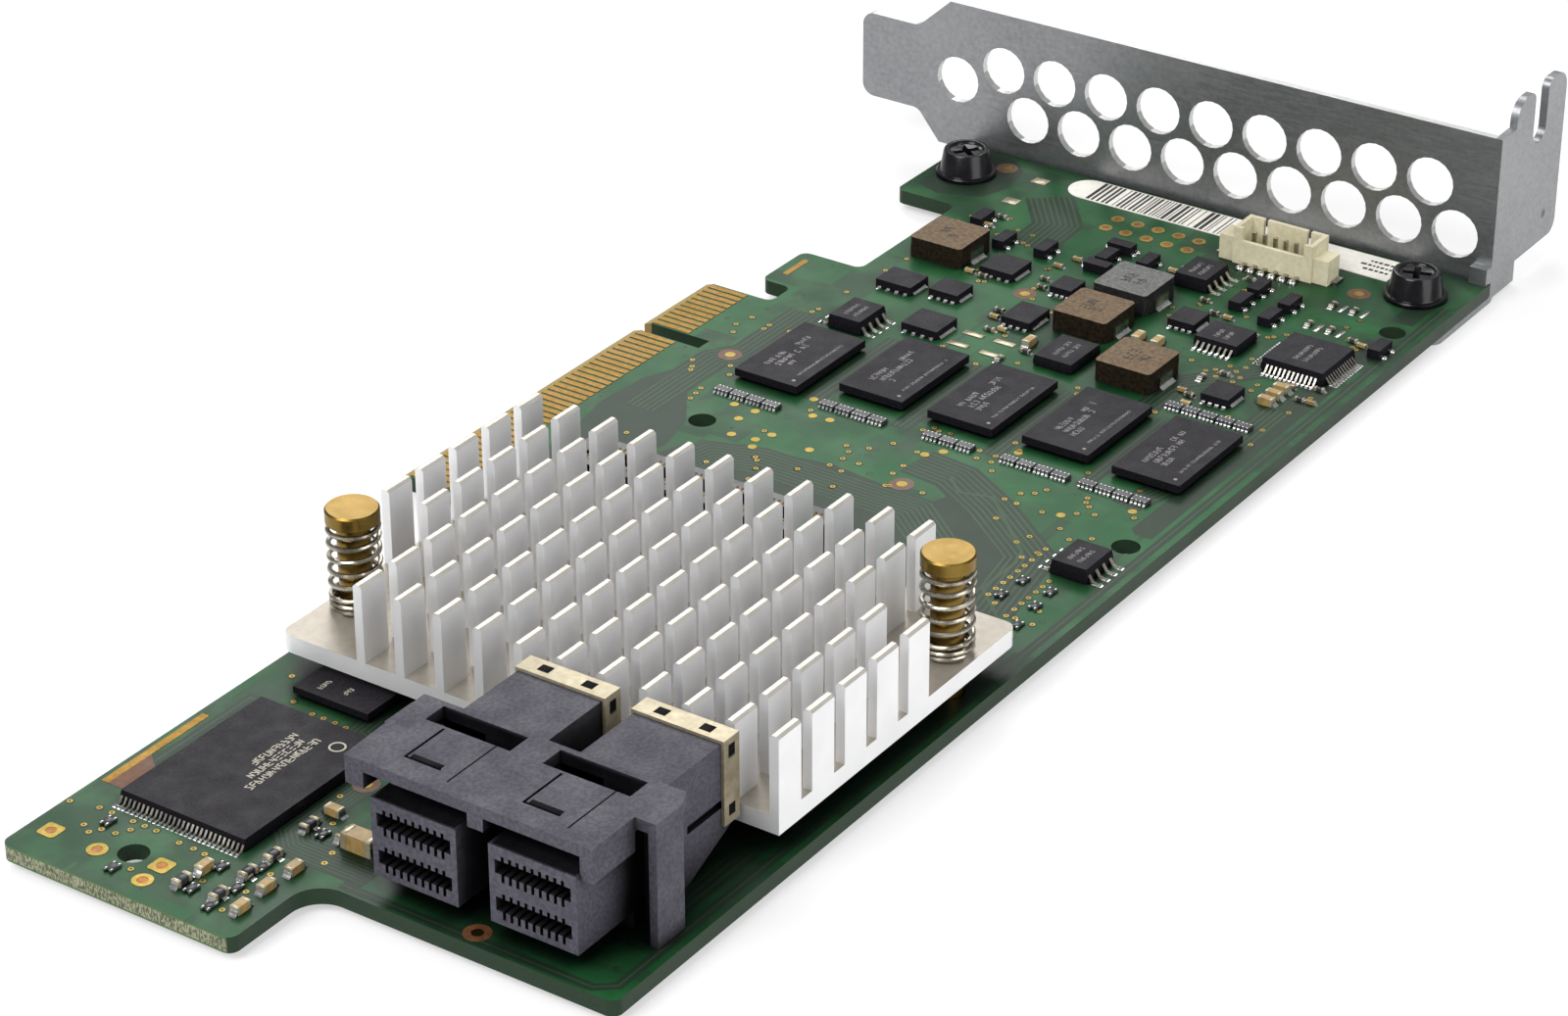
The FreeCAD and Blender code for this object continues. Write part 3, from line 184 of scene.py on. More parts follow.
def plain_finish(
    name, light, dark, roughness, metallic=0.0, grain=0.6, bump=0.3, depth=0.05, span=0.1, specular=0.35
):
    """A finish between two near shades, with a fine grain in colour, gloss and height."""
    coat = Finish(name, roughness, metallic, specular)
    fine = coat.noise(grain, 4.0)
    broad = coat.noise(grain * 9, 2.0)
    blend = coat.spread(coat.math("ADD", fine, broad), 0.75, 1.25)
    coat.gloss(broad, roughness - span, roughness + span)
    return coat.coloured(coat.mix(blend, dark, light), fine, bump, depth)


MASK_ROUGHNESS = 0.36
MASK_GLOSS = 0.12
# Painted shade of the mask near tall parts: its colour, its reach, and the open shares between which it
# fades
BOARD_SHADE = (5, 14, 8)
BOARD_REACH = 8.5
BOARD_OPEN = (0.42, 0.97)
BOARD_REAR = -108.3
CORE_HALF = 0.6
TONGUE_END = 12.4
TONGUE_MARGIN = -0.9
FACES_REAR = 0.9


def board_finish():
    """Green mask over copper areas of slightly different tone, with painted shade near tall parts; the rear
    end shows bare laminate.
    """
    coat = Finish("solder_mask", MASK_ROUGHNESS, 0.0, MASK_GLOSS)
    along, across, up = coat.axes(coat.place)
    cloud = coat.spread(coat.noise(12.0), 0.35, 0.65)
    copper = coat.mix(cloud, (22, 68, 36), (36, 88, 50))
    in_area = coat.above(coat.cells(11.0, "F2", "CHEBYCHEV"), 0.6)
    copper = coat.mix(in_area, copper, (34, 66, 42))
    top = coat.mix(coat.spread(coat.noise(5.0), 0.45, 0.8), copper, (46, 96, 56))
    in_rings = coat.between(coat.cells(3.4), 0.07, 0.1)
    top = coat.mix(in_rings, top, (28, 52, 36))
    in_margin = coat.both(coat.below(along, TONGUE_END * MM), coat.above(across, TONGUE_MARGIN * MM))
    top = coat.mix(in_margin, top, (150, 130, 70))
    # Painted shade: the mask goes dark near the parts that stand on the board
    top = coat.painted_occlusion_shade(top, BOARD_SHADE, BOARD_REACH, *BOARD_OPEN)
    weave = coat.noise(0.35, 2.0, coat.stretched(1, 1, 5))
    # The board's side faces take a darker green than its top
    side_green = coat.mix(weave, (24, 42, 28), (42, 58, 42))
    fibres = coat.spread(coat.noise(0.3, 3.0, coat.stretched(1, 2.5, 0.8)), 0.42, 0.58)
    core = coat.mix(fibres, (66, 72, 52), (138, 140, 116))
    depth = coat.math("ABSOLUTE", coat.math("ADD", up, -BOARD_BACK / 2 * MM))
    laminate = coat.mix(coat.above(depth, CORE_HALF * MM), core, (70, 98, 58))
    at_rear = coat.both(coat.above(coat.facing(0), FACES_REAR), coat.below(along, BOARD_REAR * MM))
    sides = coat.mix(at_rear, side_green, laminate)
    sides = coat.mix(in_margin, sides, (128, 108, 62))
    coat.gloss(coat.noise(6.0), 0.28, 0.42)
    return coat.coloured(coat.mix(coat.facing_up(), sides, top), weave, 0.25, 0.03)


def masked_finish(name, patch, first, second, grain):
    """Mask over traces or over bare laminate, greyer than over the copper areas, with painted shade near
    tall parts.
    """
    coat = Finish(name, MASK_ROUGHNESS, 0.0, MASK_GLOSS)
    shade = coat.mix(coat.noise(patch), first, second)
    # Painted shade: the mask goes dark near the parts that stand on the board
    colour = coat.painted_occlusion_shade(shade, BOARD_SHADE, BOARD_REACH, *BOARD_OPEN)
    return coat.coloured(colour, coat.noise(grain), 0.2, 0.02)


SINK_FLOOR = 4.6
BLADE_TOP = 10.0


def aluminium_finish():
    """Extruded aluminium: fine drawn lines along the blades; the level faces low on the base are darker and
    warmer.
    """
    coat = Finish("satin_aluminium", 0.42, 0.5)
    height = coat.axes(coat.place)[2]
    drawn = coat.noise(0.5, 4.0, coat.stretched(6, 0.15, 6))
    cast = coat.mix(coat.noise(5.0), (216, 216, 217), (236, 236, 237))
    low_face_tone = coat.mix(coat.noise(0.8, 4.0), (156, 148, 136), (178, 171, 160))
    sawn = coat.mix(coat.noise(2.0), (176, 171, 162), (206, 203, 196))
    # Level faces low on the base, between the blades, take a darker, warmer colour
    on_floor = coat.both(coat.facing_up(), coat.below(height, SINK_FLOOR * MM))
    on_tops = coat.both(coat.facing_up(), coat.above(height, BLADE_TOP * MM))
    coat.gloss(drawn, 0.34, 0.5)
    colour = coat.mix(on_floor, coat.mix(on_tops, cast, sawn), low_face_tone)
    return coat.coloured(colour, coat.math("ADD", drawn, coat.noise(0.25)), 0.35, 0.03)


TURNING_PITCH = 0.22
FAR_OFF = 1.0


def brass_finish():
    """Turned brass with rings round each pin's own axis."""
    coat = Finish("turned_brass", 0.24, 1.0)
    near = FAR_OFF
    for along, across in PIN_CENTRES:
        offset = coat.vector("ADD", coat.place, (-along * MM, (BOARD_WIDTH - across) * MM, 0))[0]
        level = coat.vector("MULTIPLY", offset, (1, 1, 0))[0]
        near = coat.math("MINIMUM", coat.vector("LENGTH", level)["Value"], near)
    rings = coat.math("SINE", coat.math("MULTIPLY", near, 2 * math.pi / (TURNING_PITCH * MM)))
    shade = coat.noise(1.2)
    coat.gloss(shade, 0.26, 0.42)
    relief = coat.math("ADD", coat.math("MULTIPLY", rings, 0.3), coat.noise(0.3))
    return coat.coloured(coat.mix(shade, (114, 90, 38), (142, 118, 62)), relief, 0.25, 0.02)


PLATE_REAR = 58.1
PLATE_FRONT = 59.1
VENTS_TOP = 18.5
VENTS_END = -68.0
# Painted shade round the bracket's dimple: its place, and the radii between which the shade fades
DIMPLE = (70.3 * MM, -68.9 * MM, 3.4 * MM)
DIMPLE_INNER = 0.3
DIMPLE_OUTER = 0.7
FACES_ASIDE = 0.5


def zinc_finish():
    """Zinc plated steel: fine mottling, rolling lines, a painted highlight on the punched edges round the
    vents, and painted shade round the dimple.
    """
    coat = Finish("zinc_plate", 0.36, 0.85)
    along, across, up = coat.axes(coat.place)
    rolled = coat.noise(0.8, 4.0, coat.stretched(3, 0.3, 3))
    mottle = coat.spread(coat.noise(0.5, 5.0), 0.25, 0.75)
    cloud = coat.spread(coat.noise(14.0, 3.0), 0.35, 0.65)
    shade = coat.mix(mottle, (124, 126, 129), (146, 148, 150))
    shade = coat.mix(coat.math("MULTIPLY", cloud, 0.35), shade, (164, 165, 166))
    in_vents = coat.both(coat.below(up, VENTS_TOP * MM), coat.above(across, VENTS_END * MM))
    in_vents = coat.both(in_vents, coat.between(along, PLATE_REAR * MM, PLATE_FRONT * MM))
    # Painted highlight on the punched edges round the vents
    vent_edge_highlight = coat.both(in_vents, coat.below(coat.facing(0), FACES_ASIDE))
    shade = coat.mix(vent_edge_highlight, shade, (206, 206, 204))
    # Painted shade: a dark spot round the dimple
    away = coat.vector("DISTANCE", coat.place, DIMPLE)["Value"]
    shade = coat.mix(coat.spread(away, DIMPLE_INNER * MM, DIMPLE_OUTER * MM), (92, 93, 95), shade)
    coat.gloss(rolled, 0.3, 0.46)
    return coat.coloured(shade, coat.math("ADD", rolled, mottle), 0.2, 0.03)


def lit_and_shaded_finish(name, grain, top_light, top_dark, side_light, side_dark):
    """A moulded body whose level faces are paler than its sides: painted light on the level faces, painted
    shade on the sides.
    """
    coat = Finish(name, 0.5, 0.0, 0.1)
    fine = coat.noise(grain, 4.0)
    speck = coat.spread(fine, 0.35, 0.65)
    top = coat.mix(speck, top_dark, top_light)
    side = coat.mix(speck, side_dark, side_light)
    coat.gloss(coat.noise(grain * 8), 0.44, 0.58)
    return coat.coloured(coat.mix(coat.facing_up(), side, top), fine, 0.35, 0.04)


# Painted shade of the grey plastic in its recesses: its colour, its reach, and the open shares between
# which it fades
RECESS_SHADE = (8, 7, 10)
RECESS_REACH = 6.0
RECESS_OPEN = (0.38, 0.86)


def recess_finish():
    """Grey moulded plastic with painted shade that takes it nearly black in its recesses."""
    coat = Finish("grey_plastic", 0.6, 0.0, 0.25)
    fine = coat.noise(0.35, 4.0)
    skin = coat.mix(coat.spread(fine, 0.35, 0.65), (56, 54, 63), (76, 75, 84))
    cloud = coat.spread(coat.noise(4.0), 0.4, 0.7)
    skin = coat.mix(coat.math("MULTIPLY", cloud, 0.3), skin, (56, 54, 63))
    coat.set("Roughness", coat.spread(cloud, 0.0, 1.0, 0.5, 0.7))
    # Painted shade in the recesses of the connector
    colour = coat.painted_occlusion_shade(skin, RECESS_SHADE, RECESS_REACH, *RECESS_OPEN)
    return coat.coloured(colour, fine, 0.4, 0.04)


board_green = board_finish()
traces = masked_finish("masked_traces", 4.0, (46, 68, 48), (60, 82, 60), 0.4)
gaps = masked_finish("masked_laminate", 3.0, (32, 48, 36), (46, 62, 48), 0.35)
gold = plain_finish("gold_plate", (142, 110, 50), (114, 86, 34), 0.42, 1.0, 0.5, 0.25, 0.02)
dot_gold = plain_finish("dot_gold", (160, 140, 70), (132, 112, 50), 0.42, 1.0, 0.5, 0.25, 0.02)
tin = plain_finish("tinned_leads", (202, 198, 188), (160, 156, 148), 0.3, 1.0, 0.3, 0.3, 0.03)
solder = plain_finish("solder", (224, 224, 222), (176, 178, 178), 0.2, 1.0, 0.4, 0.3, 0.04, 0.06)
zinc_sheet = zinc_finish()
black_steel = plain_finish("black_steel", (24, 23, 27), (10, 9, 12), 0.22, 0.2, 0.4, 0.3, 0.03, 0.08)
aluminium = aluminium_finish()
brass = brass_finish()
spring_steel = plain_finish("spring_steel", (188, 182, 168), (134, 128, 116), 0.24, 1.0, 0.3, 0.2, 0.02)
pad_grey = plain_finish("thermal_pad_grey", (150, 150, 152), (128, 128, 132), 0.7)
plated_sheet = plain_finish("tin_plated_sheet", (176, 167, 144), (146, 136, 112), 0.4, 0.6, 0.8, 0.25, 0.03)
grey_plastic = recess_finish()
# Near black, for the painted shade in the hollows of the drive connector
painted_shade_black = plain_finish("painted_shade_black", (16, 15, 19), (8, 7, 10), 0.6, specular=0.06)
cream_plastic = plain_finish("cream_plastic", (212, 206, 178), (194, 186, 156), 0.45, 0.0, 0.5, 0.2, 0.03)
# Ferrite and mould bodies with painted light on their level faces and painted shade on their sides
brown_ferrite = lit_and_shaded_finish(
    "brown_ferrite", 0.4, (116, 98, 76), (90, 74, 56), (40, 33, 23), (22, 18, 11)
)
grey_ferrite = lit_and_shaded_finish(
    "grey_ferrite", 0.4, (112, 113, 110), (88, 89, 87), (44, 44, 43), (26, 26, 26)
)
mould = lit_and_shaded_finish("mould_compound", 0.22, (46, 44, 48), (34, 32, 36), (26, 24, 29), (15, 13, 18))
ceramic_tan = plain_finish("tan_ceramic", (166, 140, 88), (132, 106, 62), 0.4)
resistor_black = plain_finish("resistor_glaze", (62, 62, 66), (42, 42, 46), 0.3)
end_cap = plain_finish("fired_end_caps", (202, 194, 168), (160, 150, 124), 0.34, 0.6)
white_paper = plain_finish("label_paper", (236, 233, 226), (222, 218, 208), 0.6)
black_print = plain_finish("black_print", (52, 52, 52), (30, 30, 30), 0.6)
chip_print = plain_finish("chip_print", (150, 148, 146), (112, 110, 112), 0.6)
pale_print = plain_finish("pale_print", (198, 192, 176), (170, 164, 150), 0.6)
# Painted shade: the dark inside of each small via's hole
via_shade = plain_finish("via_hole_shade", (52, 44, 26), (26, 24, 18), 0.5)
bronze = plain_finish("plated_hole", (160, 104, 48), (104, 62, 26), 0.4, 0.6)
brown_laminate = plain_finish("bare_laminate", (104, 68, 42), (76, 48, 30), 0.45)

NODE_FINISHES = (
    (aluminium, ("heat_sink",)),
    (black_steel, ("bracket_screws", "stacking_connector")),
    (board_green, ("circuit_board", "controller_package")),
    (brass, ("heat_sink_pins",)),
    (brown_ferrite, ("power_inductor_1", "power_inductor_3", "power_inductor_4")),
    (ceramic_tan, ("ceramic_capacitors", "large_capacitor")),
    (cream_plastic, ("header_housing",)),
    (gold, ("edge_contacts_component_side", "edge_contacts_solder_side")),
    (grey_ferrite, ("power_inductor_2",)),
    (grey_plastic, ("sas_cover", "sas_plug_block_a", "sas_plug_block_b")),
    (mould, LEADED_CHIPS + MEMORY_CHIPS),
    (mould, ("leadless_power_packages", "logic_chip", "power_diode", "small_transistors")),
    (pad_grey, ("thermal_pad",)),
    (plated_sheet, ("sas_clip_a", "sas_clip_b")),
    (resistor_black, ("chip_resistors", "resistor_arrays")),
    (tin, [chip + "_leads" for chip in LEADED_CHIPS]),
    (tin, ("header_anchors", "header_contacts", "inductor_terminals")),
    (white_paper, ("paper_label",)),
    (zinc_sheet, ("slot_bracket",)),
)
for node_finish, node_names in NODE_FINISHES:
    for node_name in node_names:
        for material_slot in NODES[node_name].material_slots:
            material_slot.material = node_finish.material


# Drawing in millimetres

SHARP_ANGLE = math.radians(38)
MITRE_LIMIT = 0.4
WELD = 0.001
DOME_PROFILE = ((1, 0), (0.97, 0.4), (0.72, 0.78), (0.36, 0.96), (0.05, 1))
FILLET_PROFILE = ((0.0, 0.0), (0.0, 1.0), (0.22, 0.5), (0.55, 0.18), (1.0, 0.05), (1.0, 0.0))


def even_turns(count, first=0.0):
    return [2 * math.pi * (step + first) / count for step in range(count)]


def placed(axis, on_axis, beside, *height):
    """A point of the board from its place on one axis (0 along, 1 across) and on the other."""
    return (beside, on_axis, *height) if axis else (on_axis, beside, *height)


def add_object(name, data):
    made = bpy.data.objects.new(name, data)
    SCENE.collection.objects.link(made)
    return made


def add_mesh(name, mesh, finishes):
    data = bpy.data.meshes.new(name)
    mesh.to_mesh(data)
    mesh.free()
    for finish in finishes:
        data.materials.append(finish.material)
    return add_object(name, data)


class Piece:
    """One mesh, drawn along the card, across it from the free edge, and up from the board."""

    def __init__(self, name, finish):
        self.name = name
        self.finishes = []
        self.mesh = bmesh.new()
        self.use(finish)

    def use(self, finish):
        """Gives the faces drawn from now on this finish."""
        if finish not in self.finishes:
            self.finishes.append(finish)
        self.paint = self.finishes.index(finish)

    def corner(self, point):
        return self.mesh.verts.new((point[0] * MM, (point[1] - BOARD_WIDTH) * MM, point[2] * MM))

    def face(self, corners, smooth=False):
        made = self.mesh.faces.new(corners)
        made.material_index = self.paint
        made.smooth = smooth

    def loft(self, sections, smooth=False, caps=True):
        """Joins outlines with the same number of points into one skin."""
        rows = [[self.corner(point) for point in section] for section in sections]
        count = len(rows[0])
        for lower, upper in zip(rows, rows[1:]):
            for index in range(count):
                after = (index + 1) % count
                self.face((lower[index], lower[after], upper[after], upper[index]), smooth)
        if caps:
            self.face(rows[0][::-1])
            self.face(rows[-1])

    def prism(self, outline, low, high):
        self.loft([[(x, y, height) for x, y in outline] for height in (low, high)])

    def sheet(self, first, last, low, high):
        """A flat rectangle between two opposite corners."""
        (x0, y0), (x1, y1) = first, last
        self.prism(((x0, y0), (x1, y0), (x1, y1), (x0, y1)), low, high)

    def block(self, low, high, cut):
        """A box with its edges and corners broken by a small chamfer."""
        sections = []
        for height, inset in ((low[2], cut), (low[2] + cut, 0), (high[2] - cut, 0), (high[2], cut)):
            x0, y0 = low[0] + inset, low[1] + inset
            x1, y1 = high[0] - inset, high[1] - inset
            corners = (
                (x0 + cut, y0), (x1 - cut, y0), (x1, y0 + cut), (x1, y1 - cut),
                (x1 - cut, y1), (x0 + cut, y1), (x0, y1 - cut), (x0, y0 + cut),
            )
            sections.append([(x, y, height) for x, y in corners])
        self.loft(sections)

    def slab(self, centre, half, low, high, cut):
        """A block about a point of the board; half gives its half sizes along and across."""
        first = (centre[0] - half[0], centre[1] - half[1], low)
        last = (centre[0] + half[0], centre[1] + half[1], high)
        self.block(first, last, cut)

    def cap(self, axis, ends, sides, low, high, cut):
        """A block between two ends on one axis, in either order, and two sides on the other."""
        near, far = sorted(ends)
        self.block(placed(axis, near, sides[0], low), placed(axis, far, sides[1], high), cut)

    def fillet(self, axis, face, sign, sides, rise, reach):
        """Solder with a hollow slope, from a face that looks along an axis down to the board."""
        sections = []
        for side in sides:
            slope = [(face + sign * reach * out, rise * up) for out, up in FILLET_PROFILE]
            sections.append([placed(axis, on_axis, side, height) for on_axis, height in slope])
        self.loft(sections)

    def terminal(self, metal, axis, ends, middle, half, top, cut, wet, rise, reach):
        """A metal end from an inner to an outer face, and the fillet that joins it to the board.

        The end and the fillet reach half and wet to both sides of the middle.
        """
        inner, outer = ends
        self.use(metal)
        self.cap(axis, ends, (middle - half, middle + half), 0.0, top, cut)
        self.use(solder)
        self.fillet(axis, outer, math.copysign(1, outer - inner), (middle - wet, middle + wet), rise, reach)

    def turned(self, centre, profile, turns, spin=0.0, smooth=True, caps=True):
        """A turned body; where a radius is a function of the turn, the outline isn't round there."""
        sections = []
        for radius, height in profile:
            section = []
            for turn in turns:
                reach = radius(turn) if callable(radius) else radius
                x = centre[0] + reach * math.cos(turn + spin)
                y = centre[1] + reach * math.sin(turn + spin)
                section.append((x, y, height))
            sections.append(section)
        self.loft(sections, smooth, caps)

    def ring(self, centre, outer, inner, low, high, sides=18):
        """A flat washer."""
        profile = ((outer, low), (outer, high), (inner, high), (inner, low))
        self.turned(centre, profile, even_turns(sides, 0.5), smooth=False, caps=False)

    def disc(self, centre, radius, low, high, sides=16):
        self.turned(centre, ((radius, low), (radius, high)), even_turns(sides), smooth=False)

    def dome(self, centre, radius, height):
        """A bead of solder on the board."""
        profile = [(radius * wide, height * up) for wide, up in DOME_PROFILE]
        self.turned(centre, profile, even_turns(12))

    def ribbon(self, points, width, low, high):
        """A flat strip that follows points, mitred at its corners."""
        left = offset_line(points, width / 2)
        right = offset_line(points, -width / 2)
        sections = []
        for a, b in zip(left, right):
            sections.append([(a[0], a[1], low), (a[0], a[1], high), (b[0], b[1], high), (b[0], b[1], low)])
        self.loft(sections)

    def tube(self, points, radius, sides=8):
        """A round wire through points, smooth all round."""
        path = [Vector(point) for point in points]
        sections = []
        side = Vector((0, 0, 1))
        for index, point in enumerate(path):
            ahead = (path[min(index + 1, len(path) - 1)] - path[max(index - 1, 0)]).normalized()
            side = (side - ahead * side.dot(ahead)).normalized()
            third = ahead.cross(side)
            spokes = [math.cos(turn) * side + math.sin(turn) * third for turn in even_turns(sides)]
            sections.append([point + radius * spoke for spoke in spokes])
        self.loft(sections, smooth=True)

    def finish(self, slot, *replaced):
        """Hands the piece to the scene; every piece rides on the one body."""
        bmesh.ops.recalc_face_normals(self.mesh, faces=self.mesh.faces)
        made = add_mesh(self.name, self.mesh, self.finishes)
        made.data.set_sharp_from_angle(angle=SHARP_ANGLE)
        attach(made, "root")
        if replaced:
            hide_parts(*replaced)


def offset_line(points, distance):
    """The same line moved sideways, with its corners kept sharp."""
    path = [Vector(point) for point in points]
    steps = [(after - here).normalized() for here, after in zip(path, path[1:])]
    result = []
    for here, before, after in zip(path, steps[:1] + steps, steps + steps[-1:]):
        across = Vector((-before.y - after.y, before.x + after.x)).normalized()
        stretch = 1 / max(MITRE_LIMIT, across.dot(Vector((-before.y, before.x))))
        result.append(here + across * distance * stretch)
    return result


def solids(node):
    """The box of each separate solid of a CAD node, in the drawing's millimetres."""
    mesh = bmesh.new()
    mesh.from_mesh(NODES[node].data)
    bmesh.ops.remove_doubles(mesh, verts=mesh.verts, dist=WELD * MM)
    unseen = set(mesh.verts)
    boxes = []
    while unseen:
        group = [unseen.pop()]
        for vert in group:
            for edge in vert.link_edges:
                other = edge.other_vert(vert)
                if other in unseen:
                    unseen.remove(other)
                    group.append(other)
        spots = [(vert.co.x / MM, vert.co.y / MM + BOARD_WIDTH, vert.co.z / MM) for vert in group]
        low = tuple(min(spot[axis] for spot in spots) for axis in range(3))
        high = tuple(max(spot[axis] for spot in spots) for axis in range(3))
        boxes.append((low, high))
    mesh.free()
    return sorted(boxes)


def middle(box):
    return tuple((box[0][axis] + box[1][axis]) / 2 for axis in range(3))


def faces_of(box, axis):
    """Both end faces of a box on an axis, each with the way it looks."""
    return (box[0][axis], -1), (box[1][axis], 1)


# Springs and the hardware of the heat sink

SPRING_RADIUS = 2.3
WIRE_RADIUS = 0.24
SPRING_LOW = 4.0
SPRING_HIGH = 12.8
LOW_TURNS = 2.4
HIGH_TURNS = 0.9
OPEN_TURNS = 5.0
STEPS_PER_TURN = 28
WHOLE_TURNS = LOW_TURNS + OPEN_TURNS + HIGH_TURNS
CLOSED_RISE = 2 * WIRE_RADIUS * 1.06
WIRE_TRAVEL = SPRING_HIGH - SPRING_LOW - 2 * WIRE_RADIUS
OPEN_RISE = (WIRE_TRAVEL - (LOW_TURNS + HIGH_TURNS) * CLOSED_RISE) / OPEN_TURNS


def spring_height(turn):
    """Height of the wire's middle, with closed turns at both ends."""
    opened = min(max(turn - LOW_TURNS, 0.0), OPEN_TURNS)
    return SPRING_LOW + WIRE_RADIUS + opened * OPEN_RISE + (turn - opened) * CLOSED_RISE


springs = Piece("pin_springs_wire", spring_steel)
for along, across in PIN_CENTRES:
    wire = []
    for step in range(int(WHOLE_TURNS * STEPS_PER_TURN) + 1):
        turn = step / STEPS_PER_TURN
        angle = 2 * math.pi * turn
        x = along + SPRING_RADIUS * math.cos(angle)
        y = across + SPRING_RADIUS * math.sin(angle)
        wire.append((x, y, spring_height(turn)))
    springs.tube(wire, WIRE_RADIUS)
springs.finish("spring_steel", "pin_springs")

SHAFT_RADIUS = 1.55
BARB_RADIUS = 2.0
TIP_RADIUS = 1.15
HEAD_RADIUS = 2.5
PIN_TOP = 14.2
PIN_SIDES = 48
PIN_PROFILE = (
    (TIP_RADIUS, FLOOR_HEIGHT), (BARB_RADIUS, BOARD_BACK - 0.1), (BARB_RADIUS, BOARD_BACK),
    (SHAFT_RADIUS, BOARD_BACK), (SHAFT_RADIUS, SPRING_HIGH), (HEAD_RADIUS - 0.1, SPRING_HIGH),
    (HEAD_RADIUS, SPRING_HIGH + 0.1), (HEAD_RADIUS, PIN_TOP - 0.16), (HEAD_RADIUS - 0.16, PIN_TOP),
    (1.2, PIN_TOP - 0.01), (0.05, PIN_TOP - 0.01),
)

pins = Piece("turned_pins", brass)
for centre in PIN_CENTRES:
    pins.turned(centre, PIN_PROFILE, even_turns(PIN_SIDES))
pins.finish("brass", "heat_sink_pins")


# Flanged screws with a coned head and a cross recess

SCREW_CENTRES = ((51.0, 5.3), (51.0, 60.9))
SCREW_SPINS = (0.35, 0.95)
SHANK_RADIUS = 1.45
CROSS_ARM = 1.5
CROSS_HALF_WIDTH = 0.35
CROSS_CORNER = math.atan2(CROSS_HALF_WIDTH, CROSS_ARM)
CROSS_TAPER = 0.7


def cross(turn):
    """Distance from the middle to the outline of a cross."""
    fold = turn % (math.pi / 2)
    fold = min(fold, math.pi / 2 - fold)
    if fold <= CROSS_CORNER + 0.0001:
        return CROSS_ARM / math.cos(fold)
    return CROSS_HALF_WIDTH / math.sin(fold)


def cross_bottom(turn):
    return cross(turn) * CROSS_TAPER


eighth = (0.0, CROSS_CORNER / 2, CROSS_CORNER, 0.34, 0.46, 0.62)
quarter = eighth + (math.pi / 4,) + tuple(math.pi / 2 - turn for turn in eighth[:0:-1])
SCREW_TURNS = [turn + side * math.pi / 2 for side in range(4) for turn in quarter]
SCREW_PROFILE = (
    (SHANK_RADIUS, FLOOR_HEIGHT), (SHANK_RADIUS, 0.0), (3.25, 0.0), (3.35, 0.12), (3.35, 0.36), (3.22, 0.5),
    (2.98, 0.52), (2.9, 0.66), (2.56, 2.8), (2.42, 2.97), (2.28, 3.0), (2.05, 3.0), (1.92, 2.93),
    (1.8, 2.74), (cross, 2.68), (cross_bottom, 1.6),
)

screws = Piece("turned_screws", black_steel)
for centre, spin in zip(SCREW_CENTRES, SCREW_SPINS):
    screws.turned(centre, SCREW_PROFILE, SCREW_TURNS, spin)
screws.finish("black_steel", "bracket_screws")


# Solder and end caps of the small parts

FOOT_SPREAD = 0.35
FOOT_UNDER = 0.7
FOOT_RISE = 0.2
FOOT_REACH = FOOT_SPREAD * 0.85
FOOT_BESIDE = 0.03
PAD_BESIDE = 0.05
PAD_HIGH = 0.03


def outward_of(box, chip):
    """The axis along which a foot points away from the chip that it carries, and which way."""
    spot, core = middle(box), middle(chip)
    beside = [max(chip[0][axis] - spot[axis], spot[axis] - chip[1][axis]) for axis in (0, 1)]
    axis = 0 if beside[0] > beside[1] else 1
    return axis, math.copysign(1, spot[axis] - core[axis])


feet = Piece("lead_solder", solder)
for chip_name in LEADED_CHIPS:
    chip = solids(chip_name)[0]
    for low, high in solids(chip_name + "_leads"):
        axis, sign = outward_of((low, high), chip)
        tip = high[axis] if sign > 0 else low[axis]
        first, last = low[1 - axis], high[1 - axis]
        feet.fillet(axis, tip, sign, (first - FOOT_BESIDE, last + FOOT_BESIDE), FOOT_RISE, FOOT_REACH)
        near, far = sorted((tip - sign * FOOT_UNDER, tip + sign * FOOT_SPREAD))
        pad = placed(axis, near, first - PAD_BESIDE), placed(axis, far, last + PAD_BESIDE)
        feet.sheet(*pad, 0.0, PAD_HIGH)
feet.finish("tin")

CAP_SHARE = 0.19
CAP_PROUD = 0.03
CAP_CUT = 0.05
CAP_WET_SHARE = 0.6
CAP_WET_REACH = 0.4

caps = Piece("end_caps", end_cap)
for node_name in ("ceramic_capacitors", "chip_resistors", "large_capacitor"):
    for low, high in solids(node_name):
        axis = 0 if high[0] - low[0] > high[1] - low[1] else 1
        depth = (high[axis] - low[axis]) * CAP_SHARE
        first, last = low[1 - axis], high[1 - axis]
        for face, sign in faces_of((low, high), axis):
            ends = face - sign * depth, face + sign * CAP_PROUD
            sides = first - CAP_PROUD, last + CAP_PROUD
            caps.use(end_cap)
            caps.cap(axis, ends, sides, low[2], high[2] + CAP_PROUD, CAP_CUT)
            caps.use(solder)
            caps.fillet(axis, ends[1], sign, (first, last), high[2] * CAP_WET_SHARE, CAP_WET_REACH)
caps.finish("tin")

ARRAY_STEPS = (-1.5, -0.5, 0.5, 1.5)
ARRAY_PITCH = 0.45
ARRAY_INSIDE = 0.2
ARRAY_PROUD = 0.03
ARRAY_END = {"half": 0.12, "cut": 0.03, "wet": 0.13, "rise": 0.3, "reach": 0.25}
LEADLESS_PADS = 4
LEADLESS_END = {"half": 0.2, "top": 0.25, "cut": 0.04, "wet": 0.2, "rise": 0.2, "reach": 0.4}
LEADLESS_BARE = 0.15
TRANSISTOR_FOOT = 0.2
TRANSISTOR_FEET = (0.2, 0.8)
